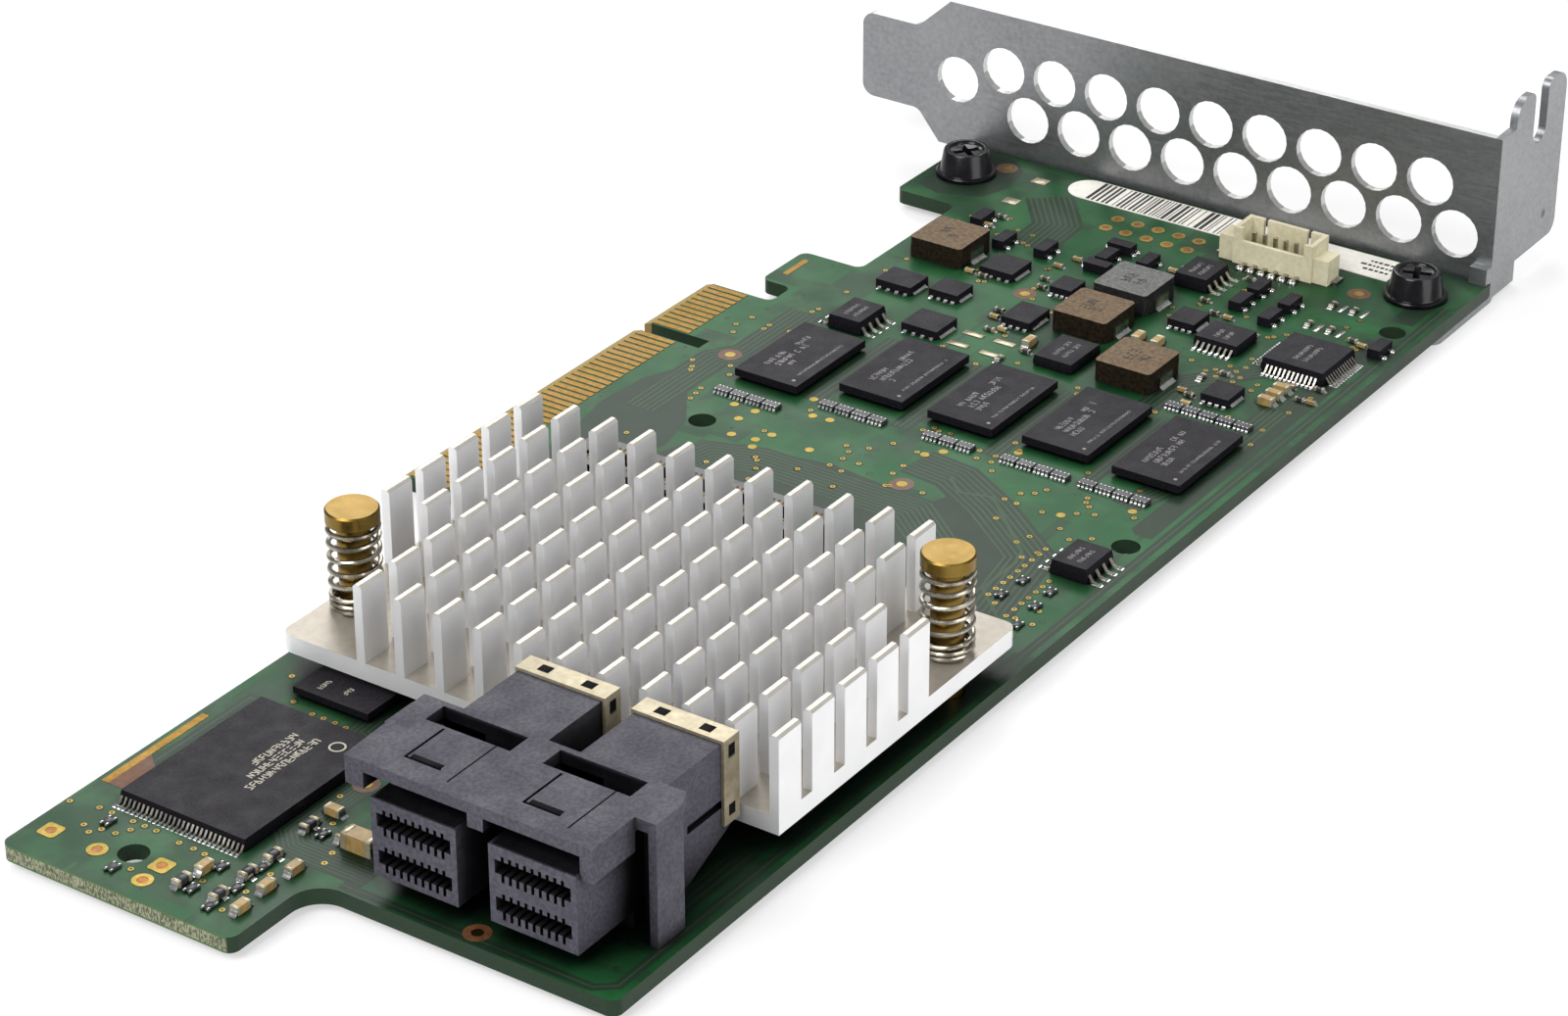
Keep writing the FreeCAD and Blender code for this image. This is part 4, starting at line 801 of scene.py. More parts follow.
# How high a joint's solder climbs and how far it reaches; a bead's radius and height
LEADLESS_JOINT = (0.22, 0.3)
INDUCTOR_JOINT = (0.3, 0.45)
TRANSISTOR_JOINT = (0.25, 0.5)
TRANSISTOR_BEAD = (0.36, 0.32)
HEADER_BEAD = (0.48, 0.55)

terminals = Piece("array_terminals", solder)
for low, high in solids("resistor_arrays"):
    for step in ARRAY_STEPS:
        across = (low[1] + high[1]) / 2 + step * ARRAY_PITCH
        for face, sign in faces_of((low, high), 0):
            ends = face - sign * ARRAY_INSIDE, face + sign * ARRAY_PROUD
            terminals.terminal(solder, 0, ends, across, top=high[2] + 0.02, **ARRAY_END)
for low, high in solids("leadless_power_packages"):
    bare = (high[0] - low[0]) * LEADLESS_BARE
    for step in range(LEADLESS_PADS):
        across = low[1] + (high[1] - low[1]) * (step + 0.5) / LEADLESS_PADS
        for face, sign in faces_of((low, high), 0):
            terminals.terminal(solder, 0, (face - sign * 0.1, face + sign * 0.12), across, **LEADLESS_END)
    terminals.fillet(1, low[1], -1, (low[0] + bare, high[0] - bare), *LEADLESS_JOINT)
inductor_middles = [middle(solids(inductor)[0]) for inductor in INDUCTORS]
for low, high in solids("inductor_terminals"):
    spot = middle((low, high))
    core = min(inductor_middles, key=lambda point: math.dist(point[:2], spot[:2]))
    sign = math.copysign(1, spot[1] - core[1])
    terminals.fillet(1, low[1] if sign < 0 else high[1], sign, (low[0], high[0]), *INDUCTOR_JOINT)
for low, high in solids("small_transistors"):
    feet_at = [(low[0] + (high[0] - low[0]) * share, low[1], -1) for share in TRANSISTOR_FEET]
    for along, face, sign in (*feet_at, ((low[0] + high[0]) / 2, high[1], 1)):
        sides = along - TRANSISTOR_FOOT, along + TRANSISTOR_FOOT
        terminals.fillet(1, face, sign, sides, *TRANSISTOR_JOINT)
        terminals.dome((along, face + sign * 0.3), *TRANSISTOR_BEAD)
for low, high in solids("header_contacts"):
    if high[2] < 1.0:
        terminals.dome((low[0] + 0.1, (low[1] + high[1]) / 2), *HEADER_BEAD)
terminals.finish("tin")


# Small parts that stand among the capacitors of the rear end

DARK_CHIPS = ((-104.5, 39.6), (-104.4, 35.7), (-100.6, 35.8), (-97.5, 35.7), (-92.2, 36.2), (-91.8, 32.7))
FOUR_PAD_CHIPS = (
    (-101.1, 50.8), (-106.1, 45.8), (-104.8, 38.3), (-101.0, 38.4), (-102.7, 35.3), (-99.1, 35.5),
    (-105.9, 35.4), (-92.5, 34.5), (-26.5, 8.4), (-23.2, 8.1), (-26.6, 4.7), (-23.6, 4.9), (-30.4, 4.3),
)
DARK_CHIP_END = {"half": 0.45, "top": 0.76, "cut": 0.07, "wet": 0.4, "rise": 0.5, "reach": 0.42}

small = Piece("rear_end_chips", resistor_black)
for along, across in DARK_CHIPS:
    small.use(resistor_black)
    small.slab((along, across), (0.5, 0.42), 0.05, 0.72, 0.05)
    for sign in (-1, 1):
        small.terminal(end_cap, 0, (along + sign * 0.46, along + sign * 0.86), across, **DARK_CHIP_END)
for along, across in FOUR_PAD_CHIPS:
    small.use(resistor_black)
    small.slab((along, across), (0.5, 0.4), 0.0, 0.3, 0.05)
    small.use(solder)
    for side_along in (-1, 1):
        for side_across in (-1, 1):
            pad = along + side_along * 0.5, across + side_across * 0.3
            small.slab(pad, (0.2, 0.14), 0.0, 0.33, 0.05)
small.finish("mould_compound")


# Pads, rings and holes on the board

LARGE_DOTS = (
    (-9.1, 50.5), (-11.4, 48.4), (-9.2, 47.9), (-14.5, 47.1), (-14.1, 44.5), (-15.5, 43.9), (-12.4, 43.7),
    (-12.9, 38.9), (-6.8, 42.6), (-3.8, 44.5), (-6.6, 40.7), (-7.4, 29.0), (-5.9, 27.8), (-2.0, 21.6),
    (-10.4, 11.7), (-6.0, 6.4),
)
SMALL_DOTS = (
    (5.7, 60.6), (7.9, 60.1), (6.4, 57.6), (7.4, 57.6), (4.0, 59.8), (-3.5, 59.6), (-4.7, 58.8),
    (-5.4, 58.5), (-8.1, 55.3), (-9.3, 55.1), (-10.5, 54.9), (-4.1, 54.6), (-12.1, 44.8), (-14.4, 35.5),
    (-14.8, 33.9), (-12.6, 35.2), (-11.1, 35.5), (-12.6, 33.3), (-9.4, 34.2), (-7.2, 32.8), (-10.5, 29.5),
    (-12.4, 29.5), (-7.4, 29.9), (-3.2, 31.9), (-2.2, 31.2), (-5.1, 22.8), (-6.6, 21.8), (-3.8, 23.1),
    (-10.7, 17.8), (-0.4, 22.9), (-10.8, 16.4), (-8.9, 17.1), (-8.1, 16.0), (-10.9, 13.5), (-6.9, 15.4),
    (-6.1, 11.3), (-7.5, 10.3), (-9.3, 10.6), (-15.6, 12.0), (-12.7, 10.4), (-12.7, 6.9), (24.9, 17.4),
    (23.7, 15.1), (24.3, 13.6), (23.1, 13.6), (25.9, 13.5), (25.2, 12.4), (24.2, 11.4), (26.5, 12.0),
    (23.0, 11.6), (11.9, 35.2), (12.2, 3.6), (-99.8, 53.0), (-99.8, 51.6), (-102.5, 52.3), (-102.2, 50.6),
    (-102.0, 49.2), (-99.8, 49.2), (-100.9, 48.5), (-99.8, 47.9), (-99.8, 46.6), (-100.1, 43.8),
    (-100.1, 42.2), (-100.2, 40.9), (-103.3, 38.4), (-105.3, 44.5), (-87.0, 37.2), (-27.0, 9.5),
    (-25.7, 9.5), (-24.4, 9.5), (-23.2, 9.5), (-21.8, 9.5), (-20.6, 9.5), (-19.3, 9.5), (-18.0, 9.5),
    (-16.8, 9.5), (-28.0, 8.2), (-28.0, 6.1), (-26.7, 6.1), (-25.5, 6.1), (-24.2, 6.1), (-23.0, 6.1),
    (-21.8, 6.1), (-29.4, 6.1), (-29.3, 5.2), (-29.4, 3.3), (-5.2, 24.4), (-3.7, 25.0), (-78.1, 47.7),
    (-78.1, 46.4), (-78.1, 45.1), (-78.2, 43.8), (-77.4, 50.4), (-90.6, 35.0), (-99.4, 34.4),
    (-102.5, 34.4), (-105.6, 34.3),
)
FIDUCIALS = (
    (-0.4, 57.1), (-13.7, 27.6), (28.5, 39.5), (48.1, 10.4), (-84.3, 36.5), (54.5, 57.7), (-96.5, 15.0),
)
MODULE_HOLES = ((-13.7, 51.2), (-12.2, 3.5), (-103.4, 45.9), (41.9, 3.3))
RING_PAD_COLUMNS = (49.85, 47.25)
RING_PAD_ROWS = (40.7, 38.2, 35.65, 33.1, 30.6)
SQUARE_PADS = ((-104.7, 54.0), (-103.5, 42.7))
ROUND_PADS = ((-104.7, 48.8), (-106.0, 42.6))
TIN_PADS = ((17.4, 38.9), (14.6, 39.0), (17.5, 35.2), (14.5, 35.1))
BARE_PADS = ((53.6, 52.8), (47.4, 52.8))
CHIP_PADS = [(along, across) for along in (44.0, 38.6) for across in (11.3, 10.1, 8.8, 7.6)]
TINY_CHIPS = (
    (37.7, 5.7), (37.2, 4.4), (37.4, 3.0), (25.1, 6.2), (23.1, 4.0), (23.1, 2.8), (26.1, 3.4),
    (18.4, 14.8), (17.8, 13.7), (16.1, 13.1), (37.0, 20.3), (35.2, 18.9), (35.4, 20.6), (36.0, 39.9),
    (32.5, 39.4), (38.5, 39.0), (23.5, 39.5), (21.9, 39.2), (19.1, 38.0), (19.8, 36.9), (29.5, 45.3),
    (29.7, 47.1), (30.6, 38.7), (39.1, 37.5), (43.1, 51.3), (40.5, 51.5), (37.5, 22.9), (41.8, 29.2),
    (16.9, 32.3),
)
LARGE_DOT = 0.46
FIDUCIAL_RING = (1.25, 0.5)
FIDUCIAL_DOT = 0.55
RING_PAD = (0.75, 0.42)
DOT_GAP = 0.42
DOT_RING = (0.28, 0.12)
DOT_HOLE = 0.13
PLATING = 0.03
RING_HIGH = 0.04
HOLE_HIGH = 0.015
SQUARE_HALF = 0.95
ROUND_RIM = 0.95
HOLE_RADIUS = 0.5

DOT_SEED = 11
EXTRA_DOTS = 120
DOTS_ALONG = (-106, 56)
DOTS_ACROSS = (2.5, 56)
DOT_MARGIN = 0.8
THIN_BEFORE = 10
THIN_SHARE = 0.6
REAR_STEP = (-96.5, 34)
SINK_SPAN = (-73.8, -36)
SINK_EDGE = 55
HOLE_CLEARANCE = 2
FLAT_ENOUGH = 0.02
NO_OBSTACLES = ("circuit_board", "heat_sink", "heat_sink_pins", "pin_springs", "edge_contacts_solder_side")


def square_rim(turn):
    return SQUARE_HALF / max(abs(math.cos(turn)), abs(math.sin(turn)))


def footprints():
    """Boxes of everything that stands on the board, so that loose dots keep clear of it."""
    taken = []
    for name in NODES:
        if name not in NO_OBSTACLES:
            taken += [box for box in solids(name) if box[1][2] > FLAT_ENOUGH]
    for along, across in MODULE_HOLES:
        low = (along - HOLE_CLEARANCE, across - HOLE_CLEARANCE, 0)
        taken.append((low, (along + HOLE_CLEARANCE, across + HOLE_CLEARANCE, 0)))
    return taken


TAKEN = footprints()


def clear_of_parts(spot, margin):
    for low, high in TAKEN:
        if all(low[axis] - margin < spot[axis] < high[axis] + margin for axis in (0, 1)):
            return False
    return True


def spread_dots():
    """Loose plated holes over the free board, fewer of them towards the rear."""
    chance = random.Random(DOT_SEED)
    dots = []
    while len(dots) < EXTRA_DOTS:
        spot = (chance.uniform(*DOTS_ALONG), chance.uniform(*DOTS_ACROSS))
        off_board = spot[0] < REAR_STEP[0] and spot[1] < REAR_STEP[1]
        under_sink = SINK_SPAN[0] < spot[0] < SINK_SPAN[1] and spot[1] < SINK_EDGE
        if off_board or under_sink or not clear_of_parts(spot, DOT_MARGIN):
            continue
        if spot[0] < THIN_BEFORE and chance.random() < THIN_SHARE:
            continue
        dots.append(spot)
    return tuple(dots)


rings = Piece("plated_rings", dot_gold)


def plated_hole(centre, rim, radius, sides=18):
    rings.use(dot_gold)
    rings.ring(centre, rim, radius, 0.0, RING_HIGH, sides)
    rings.use(bronze)
    rings.disc(centre, radius, 0.0, HOLE_HIGH)


for centre in LARGE_DOTS:
    rings.disc(centre, LARGE_DOT, 0.0, PLATING)
for centre in FIDUCIALS:
    rings.use(brown_laminate)
    rings.ring(centre, *FIDUCIAL_RING, 0.0, 0.02, 24)
    rings.use(dot_gold)
    rings.disc(centre, FIDUCIAL_DOT, 0.0, RING_HIGH)
for along in RING_PAD_COLUMNS:
    for across in RING_PAD_ROWS:
        plated_hole((along, across), *RING_PAD)
for centre in SQUARE_PADS:
    plated_hole(centre, square_rim, HOLE_RADIUS, 24)
for centre in ROUND_PADS:
    plated_hole(centre, ROUND_RIM, HOLE_RADIUS, 24)
for centre in SMALL_DOTS + spread_dots():
    rings.use(gaps)
    rings.disc(centre, DOT_GAP, 0.0, 0.012, 12)
    rings.use(dot_gold)
    rings.ring(centre, *DOT_RING, 0.0, PLATING, 12)
    # Painted shade in the via's hole
    rings.use(via_shade)
    rings.disc(centre, DOT_HOLE, 0.0, 0.02, 8)
rings.finish("gold")

FLAT_PADS = (
    (end_cap, TIN_PADS, (0.4, 1.2), 0.1, 0.04),
    (end_cap, BARE_PADS, (0.7, 0.9), 0.05, 0.02),
    (solder, CHIP_PADS, (0.9, 0.25), 0.05, 0.02),
)

strip = Piece("edge_strip", gold)
strip.sheet((-96.5, 55.0), (-83.4, 55.8), 0.0, PLATING)
strip.sheet((18.3, 62.7), (22.4, 63.4), 0.0, PLATING)
strip.use(brown_laminate)
strip.prism(((-96.5, 53.4), (-92.3, 53.4), (-91.0, 55.0), (-96.5, 55.0)), 0.0, 0.02)
for pad_finish, centres, half, high, cut in FLAT_PADS:
    strip.use(pad_finish)
    for centre in centres:
        strip.slab(centre, half, 0.0, high, cut)
strip.finish("gold")

TINY_CHIP_END = {"half": 0.25, "top": 0.45, "cut": 0.05, "wet": 0.24, "rise": 0.3, "reach": 0.3}

tiny = Piece("tiny_chips", resistor_black)
for order, (along, across) in enumerate(TINY_CHIPS):
    if not clear_of_parts((along, across), 0.35):
        continue
    tiny.use(ceramic_tan if order % 2 else resistor_black)
    tiny.slab((along, across), (0.22, 0.3), 0.02, 0.42, 0.04)
    for sign in (-1, 1):
        tiny.terminal(end_cap, 1, (across + sign * 0.27, across + sign * 0.52), along, **TINY_CHIP_END)
tiny.finish("mould_compound")


# Bundles of traces, each a little higher than the last, so that none lies in the plane of another

ZONE_HIGH = 0.002
GROUND_HIGH = 0.005
TRACE_HIGH = 0.012
LAYER_RISE = 0.0004
GROUND_MARGIN = 0.5
TRACE_SHARE = 0.36
BORDER_WIDTH = 0.35
BORDER_HIGH = TRACE_HIGH * 1.2

BETWEEN_CHIPS = ((34.2, 3), (23.7, 3), (13.0, 2), (44.7, 3))
# Each route has its points, the number of its traces and their pitch
ROUTES = (
    (
        (
            (-32.0, 58.0), (-32.0, 50.0), (-19.0, 46.0), (-17.6, 42.0), (-17.6, 24.0), (-24.0, 16.0),
            (-34.0, 12.0),
        ),
        9, 0.55,
    ),
    (((-15.0, 58.0), (-2.0, 58.0), (1.0, 56.0), (12.0, 56.0)), 6, 0.6),
    (((-9.0, 29.0), (-9.5, 24.0), (-13.0, 18.0), (-19.0, 10.0), (-30.0, 8.0)), 8, 0.6),
    (((-97.3, 28.6), (-97.3, 2.8), (-96.0, 1.2), (50.0, 1.2)), 1, 0.5),
    (((-91.0, 4.9), (-38.0, 4.9)), 6, 0.72),
    (((50.6, 49.8), (45.0, 45.4), (38.6, 45.0)), 8, 0.62),
    (((-83.5, 37.1), (-93.3, 37.1), (-94.8, 35.5), (-94.8, 27.0)), 8, 0.42),
    (((-79.0, 52.8), (-79.0, 54.0), (-96.0, 54.0)), 1, 0.6),
    (((-78.6, 38.0), (-77.6, 41.8), (-74.0, 42.0)), 7, 0.5),
    (((-5.6, 7.6), (5.0, 4.8), (20.0, 4.8)), 5, 0.55),
    (((12.6, 16.0), (20.0, 16.0), (27.0, 10.0)), 4, 0.6),
    *((((-4.0, across), (12.0, across)), count, 0.6) for across, count in BETWEEN_CHIPS),
)
BARE_ZONES = (
    (
        (-36.0, 56.0), (-24.0, 51.6), (-18.4, 49.8), (-15.4, 42.1), (-14.1, 35.3), (-15.4, 23.5),
        (-12.0, 22.2), (-11.0, 18.9), (-18.4, 11.2), (-20.7, 10.5), (-26.3, 10.6), (-29.9, 6.8),
        (-36.0, 6.8),
    ),
    ((-9.7, 2.2), (-9.7, 4.0), (-8.9, 4.8), (39.4, 4.8), (39.4, 2.2)),
    ((44.3, 2.2), (44.3, 4.8), (50.0, 4.8), (52.0, 3.4), (52.0, 2.2)),
    ((45.6, 64.0), (44.6, 60.5), (46.5, 56.0), (50.0, 54.9), (54.5, 55.5), (56.8, 58.0), (56.8, 64.0)),
    (
        (-36.0, 60.5), (-24.0, 60.5), (-15.9, 62.0), (-9.5, 61.5), (-5.3, 59.6), (-8.0, 57.0),
        (-14.8, 52.4), (-20.0, 51.2), (-36.0, 56.6),
    ),
)
ZONE_BORDER = (
    (-9.9, 24.4), (-12.0, 22.2), (-11.0, 18.9), (-18.4, 11.2), (-20.7, 10.5), (-26.3, 10.6), (-29.9, 6.8),
)

wiring = Piece("trace_bundles", gaps)
for order, outline in enumerate(BARE_ZONES):
    wiring.prism(outline, 0.0, ZONE_HIGH + order * LAYER_RISE)
wiring.use(traces)
wiring.ribbon(ZONE_BORDER, BORDER_WIDTH, 0.0, BORDER_HIGH)
for order, (points, count, pitch) in enumerate(ROUTES):
    wiring.use(gaps)
    wiring.ribbon(points, count * pitch + GROUND_MARGIN, 0.0, GROUND_HIGH + order * LAYER_RISE)
    wiring.use(traces)
    for index in range(count):
        shift = (index - (count - 1) / 2) * pitch
        line = offset_line(points, shift)
        wiring.ribbon(line, pitch * TRACE_SHARE, 0.0, TRACE_HIGH + order * LAYER_RISE)
wiring.finish("board_green")


# Print on the chips and on the label

PRINT_HIGH = 0.012
MARK_WIDE = 0.55
MARK_STEP = 1.5
STROKE_SHARE = 0.14
BLANK_SHARE = 0.12
STROKES = (
    ((0, 0), (0, 1)), ((1, 0), (1, 1)), ((0, 0), (1, 0)), ((0, 1), (1, 1)), ((0, 0.5), (1, 0.5)),
    ((0, 1), (1, 0)),
)
# Lines of print: start, end, place across, height and seed
MEMORY_LINES = (
    (2.5, 6.2, 5.35, 0.6, 10), (3.0, 8.6, 4.35, 0.6, 20), (2.8, 4.8, 3.4, 0.6, 30),
    (7.8, 10.0, 5.2, 0.55, 40), (2.2, 10.4, 1.3, 0.3, 50),
)
FLASH_LINES = (
    (-88.6, -82.6, 45.5, 0.72, 61), (-90.3, -82.4, 44.4, 0.72, 62), (-91.8, -82.2, 43.3, 0.72, 63),
)
LOGIC_LINES = ((-75.6, -73.9, 48.9, 0.5, 71), (-75.6, -73.9, 46.4, 0.5, 72))
SMALL_CHIPS = ("quad_chip", "driver_chip", *EIGHT_LEAD_CHIPS, "power_diode")

prints = Piece("chip_marks", chip_print)


def dashes(start, end, across, height, seed, top):
    """A line of plain marks, three strokes each, that stands for a line of print."""
    marks = random.Random(seed)
    wide = height * MARK_WIDE
    place = start
    while place + wide <= end:
        if marks.random() > BLANK_SHARE:
            for stroke in marks.sample(STROKES, 3):
                ends = [(place + x * wide, across + (y - 0.5) * height) for x, y in stroke]
                prints.ribbon(ends, height * STROKE_SHARE, top, top + PRINT_HIGH)
        place += wide * MARK_STEP


for number, chip_name in enumerate(MEMORY_CHIPS, 1):
    low, high = solids(chip_name)[0]
    for start, end, across, height, seed in MEMORY_LINES:
        dashes(low[0] + start, low[0] + end, low[1] + across, height, seed + number, high[2])
    prints.disc((low[0] + 1.0, low[1] + 1.0), 0.2, high[2], high[2] + PRINT_HIGH)
prints.use(pale_print)
top = solids("flash_chip")[0][1][2]
for line in FLASH_LINES:
    dashes(*line, top)
prints.ring((-82.4, 41.2), 0.8, 0.62, top, top + PRINT_HIGH, 24)
for line in LOGIC_LINES:
    dashes(*line, solids("logic_chip")[0][1][2])
prints.use(chip_print)
for seed, chip_name in enumerate(SMALL_CHIPS, 81):
    low, high = solids(chip_name)[0]
    margin = (high[0] - low[0]) * 0.22
    for step in (-0.55, 0.55):
        dashes(low[0] + margin, high[0] - margin, (low[1] + high[1]) / 2 + step, 0.45, seed, high[2])
prints.use(black_print)
for number, inductor in enumerate(INDUCTORS, 1):
    low, high = solids(inductor)[0]
    across = (low[1] + high[1]) / 2
    dashes(low[0] + 2.1, low[0] + 4.4, across + 0.6, 1.0, 90 + number, high[2])
    dashes(low[0] + 2.4, low[0] + 4.0, across - 0.8, 0.9, 95 + number, high[2])
prints.finish("mould_compound")

LABEL_PRINT = (0.1, 0.112)
LABEL_EDGES = (52.45, 56.95)
BAR_WIDTHS = (0.12, 0.16, 0.3, 0.42)
BAR_GAPS = (0.22, 0.34, 0.6)
WORD_LENGTHS = (0.2, 0.7)
WORD_GAP = 0.18
WORD_HIGH = 0.4
BARS_START, BARS_END = 28.0, 46.0
WORDS_START, WORDS_END = 10.0, 13.0
WORD_ROWS = ((53.6, 3), (54.6, 4), (55.6, 6))

label = Piece("label_bars", black_print)
bars = random.Random(5)
place = BARS_START
while place < BARS_END:
    reach = bars.choice(BAR_WIDTHS)
    label.sheet((LABEL_EDGES[0], place), (LABEL_EDGES[1], place + reach), *LABEL_PRINT)
    place += reach + bars.choice(BAR_GAPS)
for row, seed in WORD_ROWS:
    words = random.Random(seed)
    place = WORDS_START
    while place < WORDS_END:
        reach = words.uniform(*WORD_LENGTHS)
        label.sheet((row, place), (row + WORD_HIGH, place + reach), *LABEL_PRINT)
        place += reach + WORD_GAP
label.finish("label_paper")


# Contacts in the connectors

STACK_MARGINS = (0.7, 0.5)
STACK_PITCH = 0.6
STACK_INSET = 1.4
PORT_MIDDLES = (21.3, 9.2)
PORT_STEPS = range(-4, 5)
PORT_PITCH = 0.75
SLOT_LEVELS = ((2.4, 1), (4.2, -1), (6.2, 1), (8.0, -1))

contacts = Piece("connector_contacts", gold)
low, high = solids("stacking_connector")[0]
across = low[1] + STACK_MARGINS[0]
while across < high[1] - STACK_MARGINS[1]:
    for wall, sign in faces_of((low, high), 0):
        row = wall - sign * STACK_INSET
        contacts.slab((row, across), (0.45, 0.11), high[2] - 0.02, high[2] + 0.05, 0.02)
        contacts.cap(0, (wall, wall + sign * 0.5), (across - 0.1, across + 0.1), 0.0, 0.25, 0.03)
    across += STACK_PITCH
contacts.use(tin)
for centre in PORT_MIDDLES:
    for level, sign in SLOT_LEVELS:
        for step in PORT_STEPS:
            across = centre + step * PORT_PITCH
            bow, lip = level + sign * 0.35, level + sign * 0.1
            contacts.tube(((-88.0, across, level), (-92.5, across, bow), (-94.4, across, lip)), 0.13, 6)
contacts.finish("gold")


# Painted shade: dark sheets in the hollows of the drive connector

THIN_CUT = 0.01
SKIN = 0.02
COVER_TOP = 12.0
COVER_UNDER = 10.88
BLOCK_TOP = 9.2
SHADED_PLUG_FRONT = -96.2
SHADED_PLUG_BACK = -85.2
SHADED_PLUG_HALF = 4.1
WINDOW_MIDDLES = (22.1, 10.0)
WINDOW_HALF = 4.38
WINDOW_DRIFT = 1.8
WINDOW_BACK = (-85.65, -85.6)
CLIP_HOLE_PITCH = 4.6
CLIP_HOLE_DROP = 1.2
CLIP_HOLE_RISE = 1.3
LATCH_CORNERS = (12.3, 24.4)
# Painted shade along the lines cut round each latch: both ends along, and both sides from the corner
LATCH_CUTS = (((-94.5, -88.0), (5.4, 5.24)), ((-93.3, -92.7), (3.7, 0.5)))

hollows = Piece("connector_painted_shade", painted_shade_black)
# Painted shade: dark sheets over the plug blocks, under the cover
for centre in PORT_MIDDLES:
    sides = centre - SHADED_PLUG_HALF, centre + SHADED_PLUG_HALF
    hollows.cap(0, (SHADED_PLUG_FRONT, SHADED_PLUG_BACK), sides, BLOCK_TOP - SKIN, BLOCK_TOP + 0.05, 0.03)
# Painted shade: dark walls inside the windows of the cover
for centre in WINDOW_MIDDLES:
    end = centre + WINDOW_HALF
    hollows.cap(0, WINDOW_BACK, (centre - WINDOW_HALF, end), BLOCK_TOP, COVER_TOP - 0.2, THIN_CUT)
    hollows.cap(0, WINDOW_BACK, (centre, end + WINDOW_DRIFT), BLOCK_TOP - 1.5, COVER_UNDER, THIN_CUT)
# Painted shade: dark sheets in the holes of the clips
for clip_name in ("sas_clip_a", "sas_clip_b"):
    for low, high in solids(clip_name):
        along, across, up = middle((low, high))
        for sign in (-1, 1):
            hole = along, across + sign * CLIP_HOLE_PITCH / 2
            hollows.slab(hole, (0.5, 0.6), high[2] - 0.1, high[2] + SKIN, THIN_CUT)
        for hole in (high[2] - CLIP_HOLE_DROP, low[2] + CLIP_HOLE_RISE):
            sides = low[1] - SKIN, low[1] + 0.1
            hollows.cap(0, (along - 0.45, along + 0.45), sides, hole - 0.55, hole + 0.55, THIN_CUT)
for corner in LATCH_CORNERS:
    for ends, (first, last) in LATCH_CUTS:
        hollows.cap(0, ends, (corner - first, corner - last), COVER_TOP - SKIN, COVER_TOP + SKIN, THIN_CUT)
hollows.finish("grey_plastic")


# Floor, lights and camera

FLOOR_SIZE = 4.0
SHADOW_SHARE = 0.5
SKY_LIGHT = 0.55
MIRRORED_SKY = 0.6
TARGET = Vector((-0.02, -0.035, 0.0))
CAMERA_LENS = 97.52
CAMERA_SHIFT = (0.00403, -0.00308)
CAMERA_RIGHT = (0.56424, -0.82560, -0.00296)
CAMERA_UP = (0.40155, 0.27130, 0.87473)
CAMERA_BACK = (-0.72138, -0.49475, 0.48460)
CAMERA_PLACE = (-0.31704, -0.23480, 0.19717)


def floor_finish():
    """Pale floor that reads white to the camera and keeps the soft shadow."""
    coat = Finish("pale_floor", 0.9)
    coat.set("Base Color", coat.mix(coat.noise(60.0), (240, 240, 240), (246, 246, 246)))
    path = coat.node("LightPath").outputs
    seen = coat.math("MAXIMUM", path["Is Camera Ray"], path["Is Glossy Ray"])
    seen = coat.math("MAXIMUM", seen, path["Is Transmission Ray"])
    glow = coat.node("Emission", {"Strength": 1.0}).outputs[0]
    share = coat.math("MULTIPLY", seen, SHADOW_SHARE)
    blend = coat.node("MixShader", {0: share, 1: coat.shader.outputs[0], 2: glow}).outputs[0]
    feed(coat.tree, coat.tree.nodes["Material Output"].inputs["Surface"], blend)
    return coat


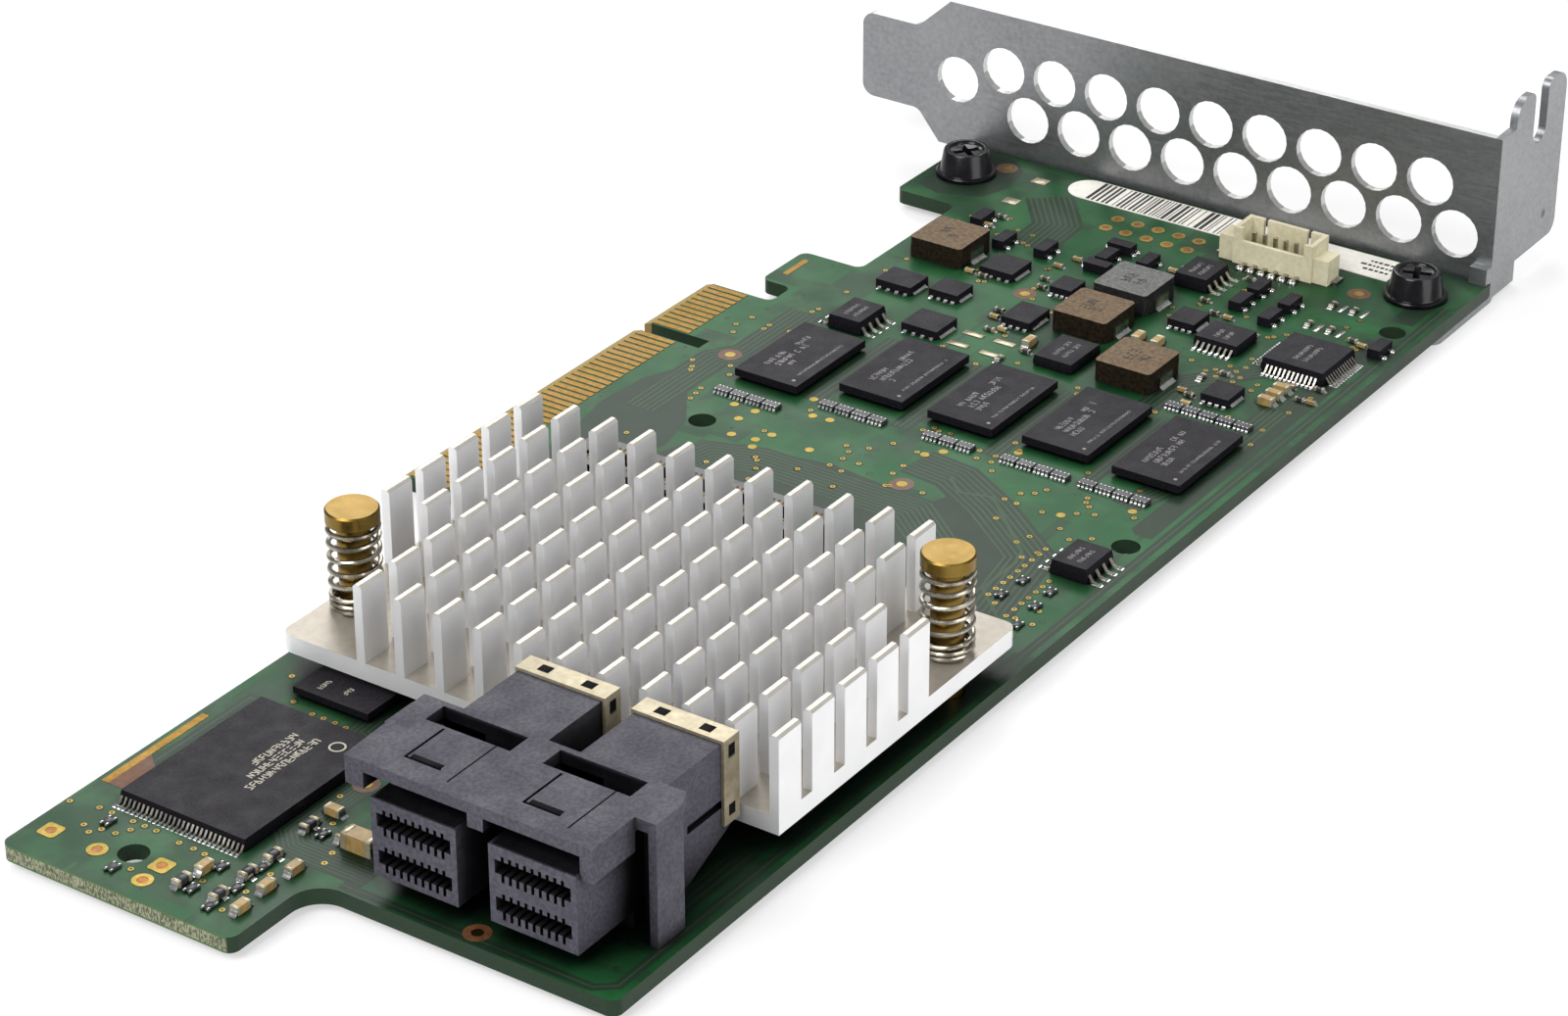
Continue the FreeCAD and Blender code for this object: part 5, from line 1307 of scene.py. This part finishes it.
def studio_world():
    """Soft even light from all round; the camera sees white and mirrors see a dimmer sky."""
    world = bpy.data.worlds.new("studio")
    world.use_nodes = True
    sky = world.node_tree
    path = add_node(sky, "LightPath").outputs
    rays = {0: path["Is Camera Ray"], 1: path["Is Transmission Ray"]}
    seen = add_node(sky, "Math", rays, operation="MAXIMUM").outputs[0]
    direct = {"Value": seen, "To Min": SKY_LIGHT, "To Max": 1.0}
    mirrored = {"Value": path["Is Glossy Ray"], "To Min": 1.0, "To Max": MIRRORED_SKY}
    shares = {
        0: add_node(sky, "MapRange", direct).outputs[0],
        1: add_node(sky, "MapRange", mirrored).outputs[0],
    }
    strength = add_node(sky, "Math", shares, operation="MULTIPLY").outputs[0]
    backdrop = sky.nodes["Background"].inputs
    feed(sky, backdrop["Color"], (1, 1, 1, 1))
    feed(sky, backdrop["Strength"], strength)
    return world


def area_light(name, place, size, power):
    data = bpy.data.lights.new(name, "AREA")
    data.shape = "DISK"
    data.size = size
    data.energy = power
    made = add_object(name, data)
    made.location = place
    made.rotation_euler = (TARGET - Vector(place)).to_track_quat("-Z", "Y").to_euler()


floor_mesh = bmesh.new()
bmesh.ops.create_grid(floor_mesh, x_segments=2, y_segments=2, size=FLOOR_SIZE)
floor = add_mesh("floor", floor_mesh, [floor_finish()])
floor.location = (0, 0, FLOOR_HEIGHT * MM)

SCENE.world = studio_world()
area_light("key", (-0.75, 0.10, 0.75), 0.7, 9.0)
area_light("fill", (-0.15, -0.95, 0.45), 0.8, 5.0)
area_light("back", (0.55, 0.45, 0.65), 0.6, 4.0)

camera_data = bpy.data.cameras.new("camera")
camera_data.sensor_width = 36.0
camera_data.lens = CAMERA_LENS
camera_data.shift_x, camera_data.shift_y = CAMERA_SHIFT
camera_data.clip_start = 0.01
camera_data.clip_end = 20.0
camera = add_object("camera", camera_data)
turned_view = Matrix((CAMERA_RIGHT, CAMERA_UP, CAMERA_BACK)).transposed().to_4x4()
camera.matrix_world = Matrix.Translation(CAMERA_PLACE) @ turned_view
SCENE.camera = camera
SCENE.view_settings.view_transform = "Standard"
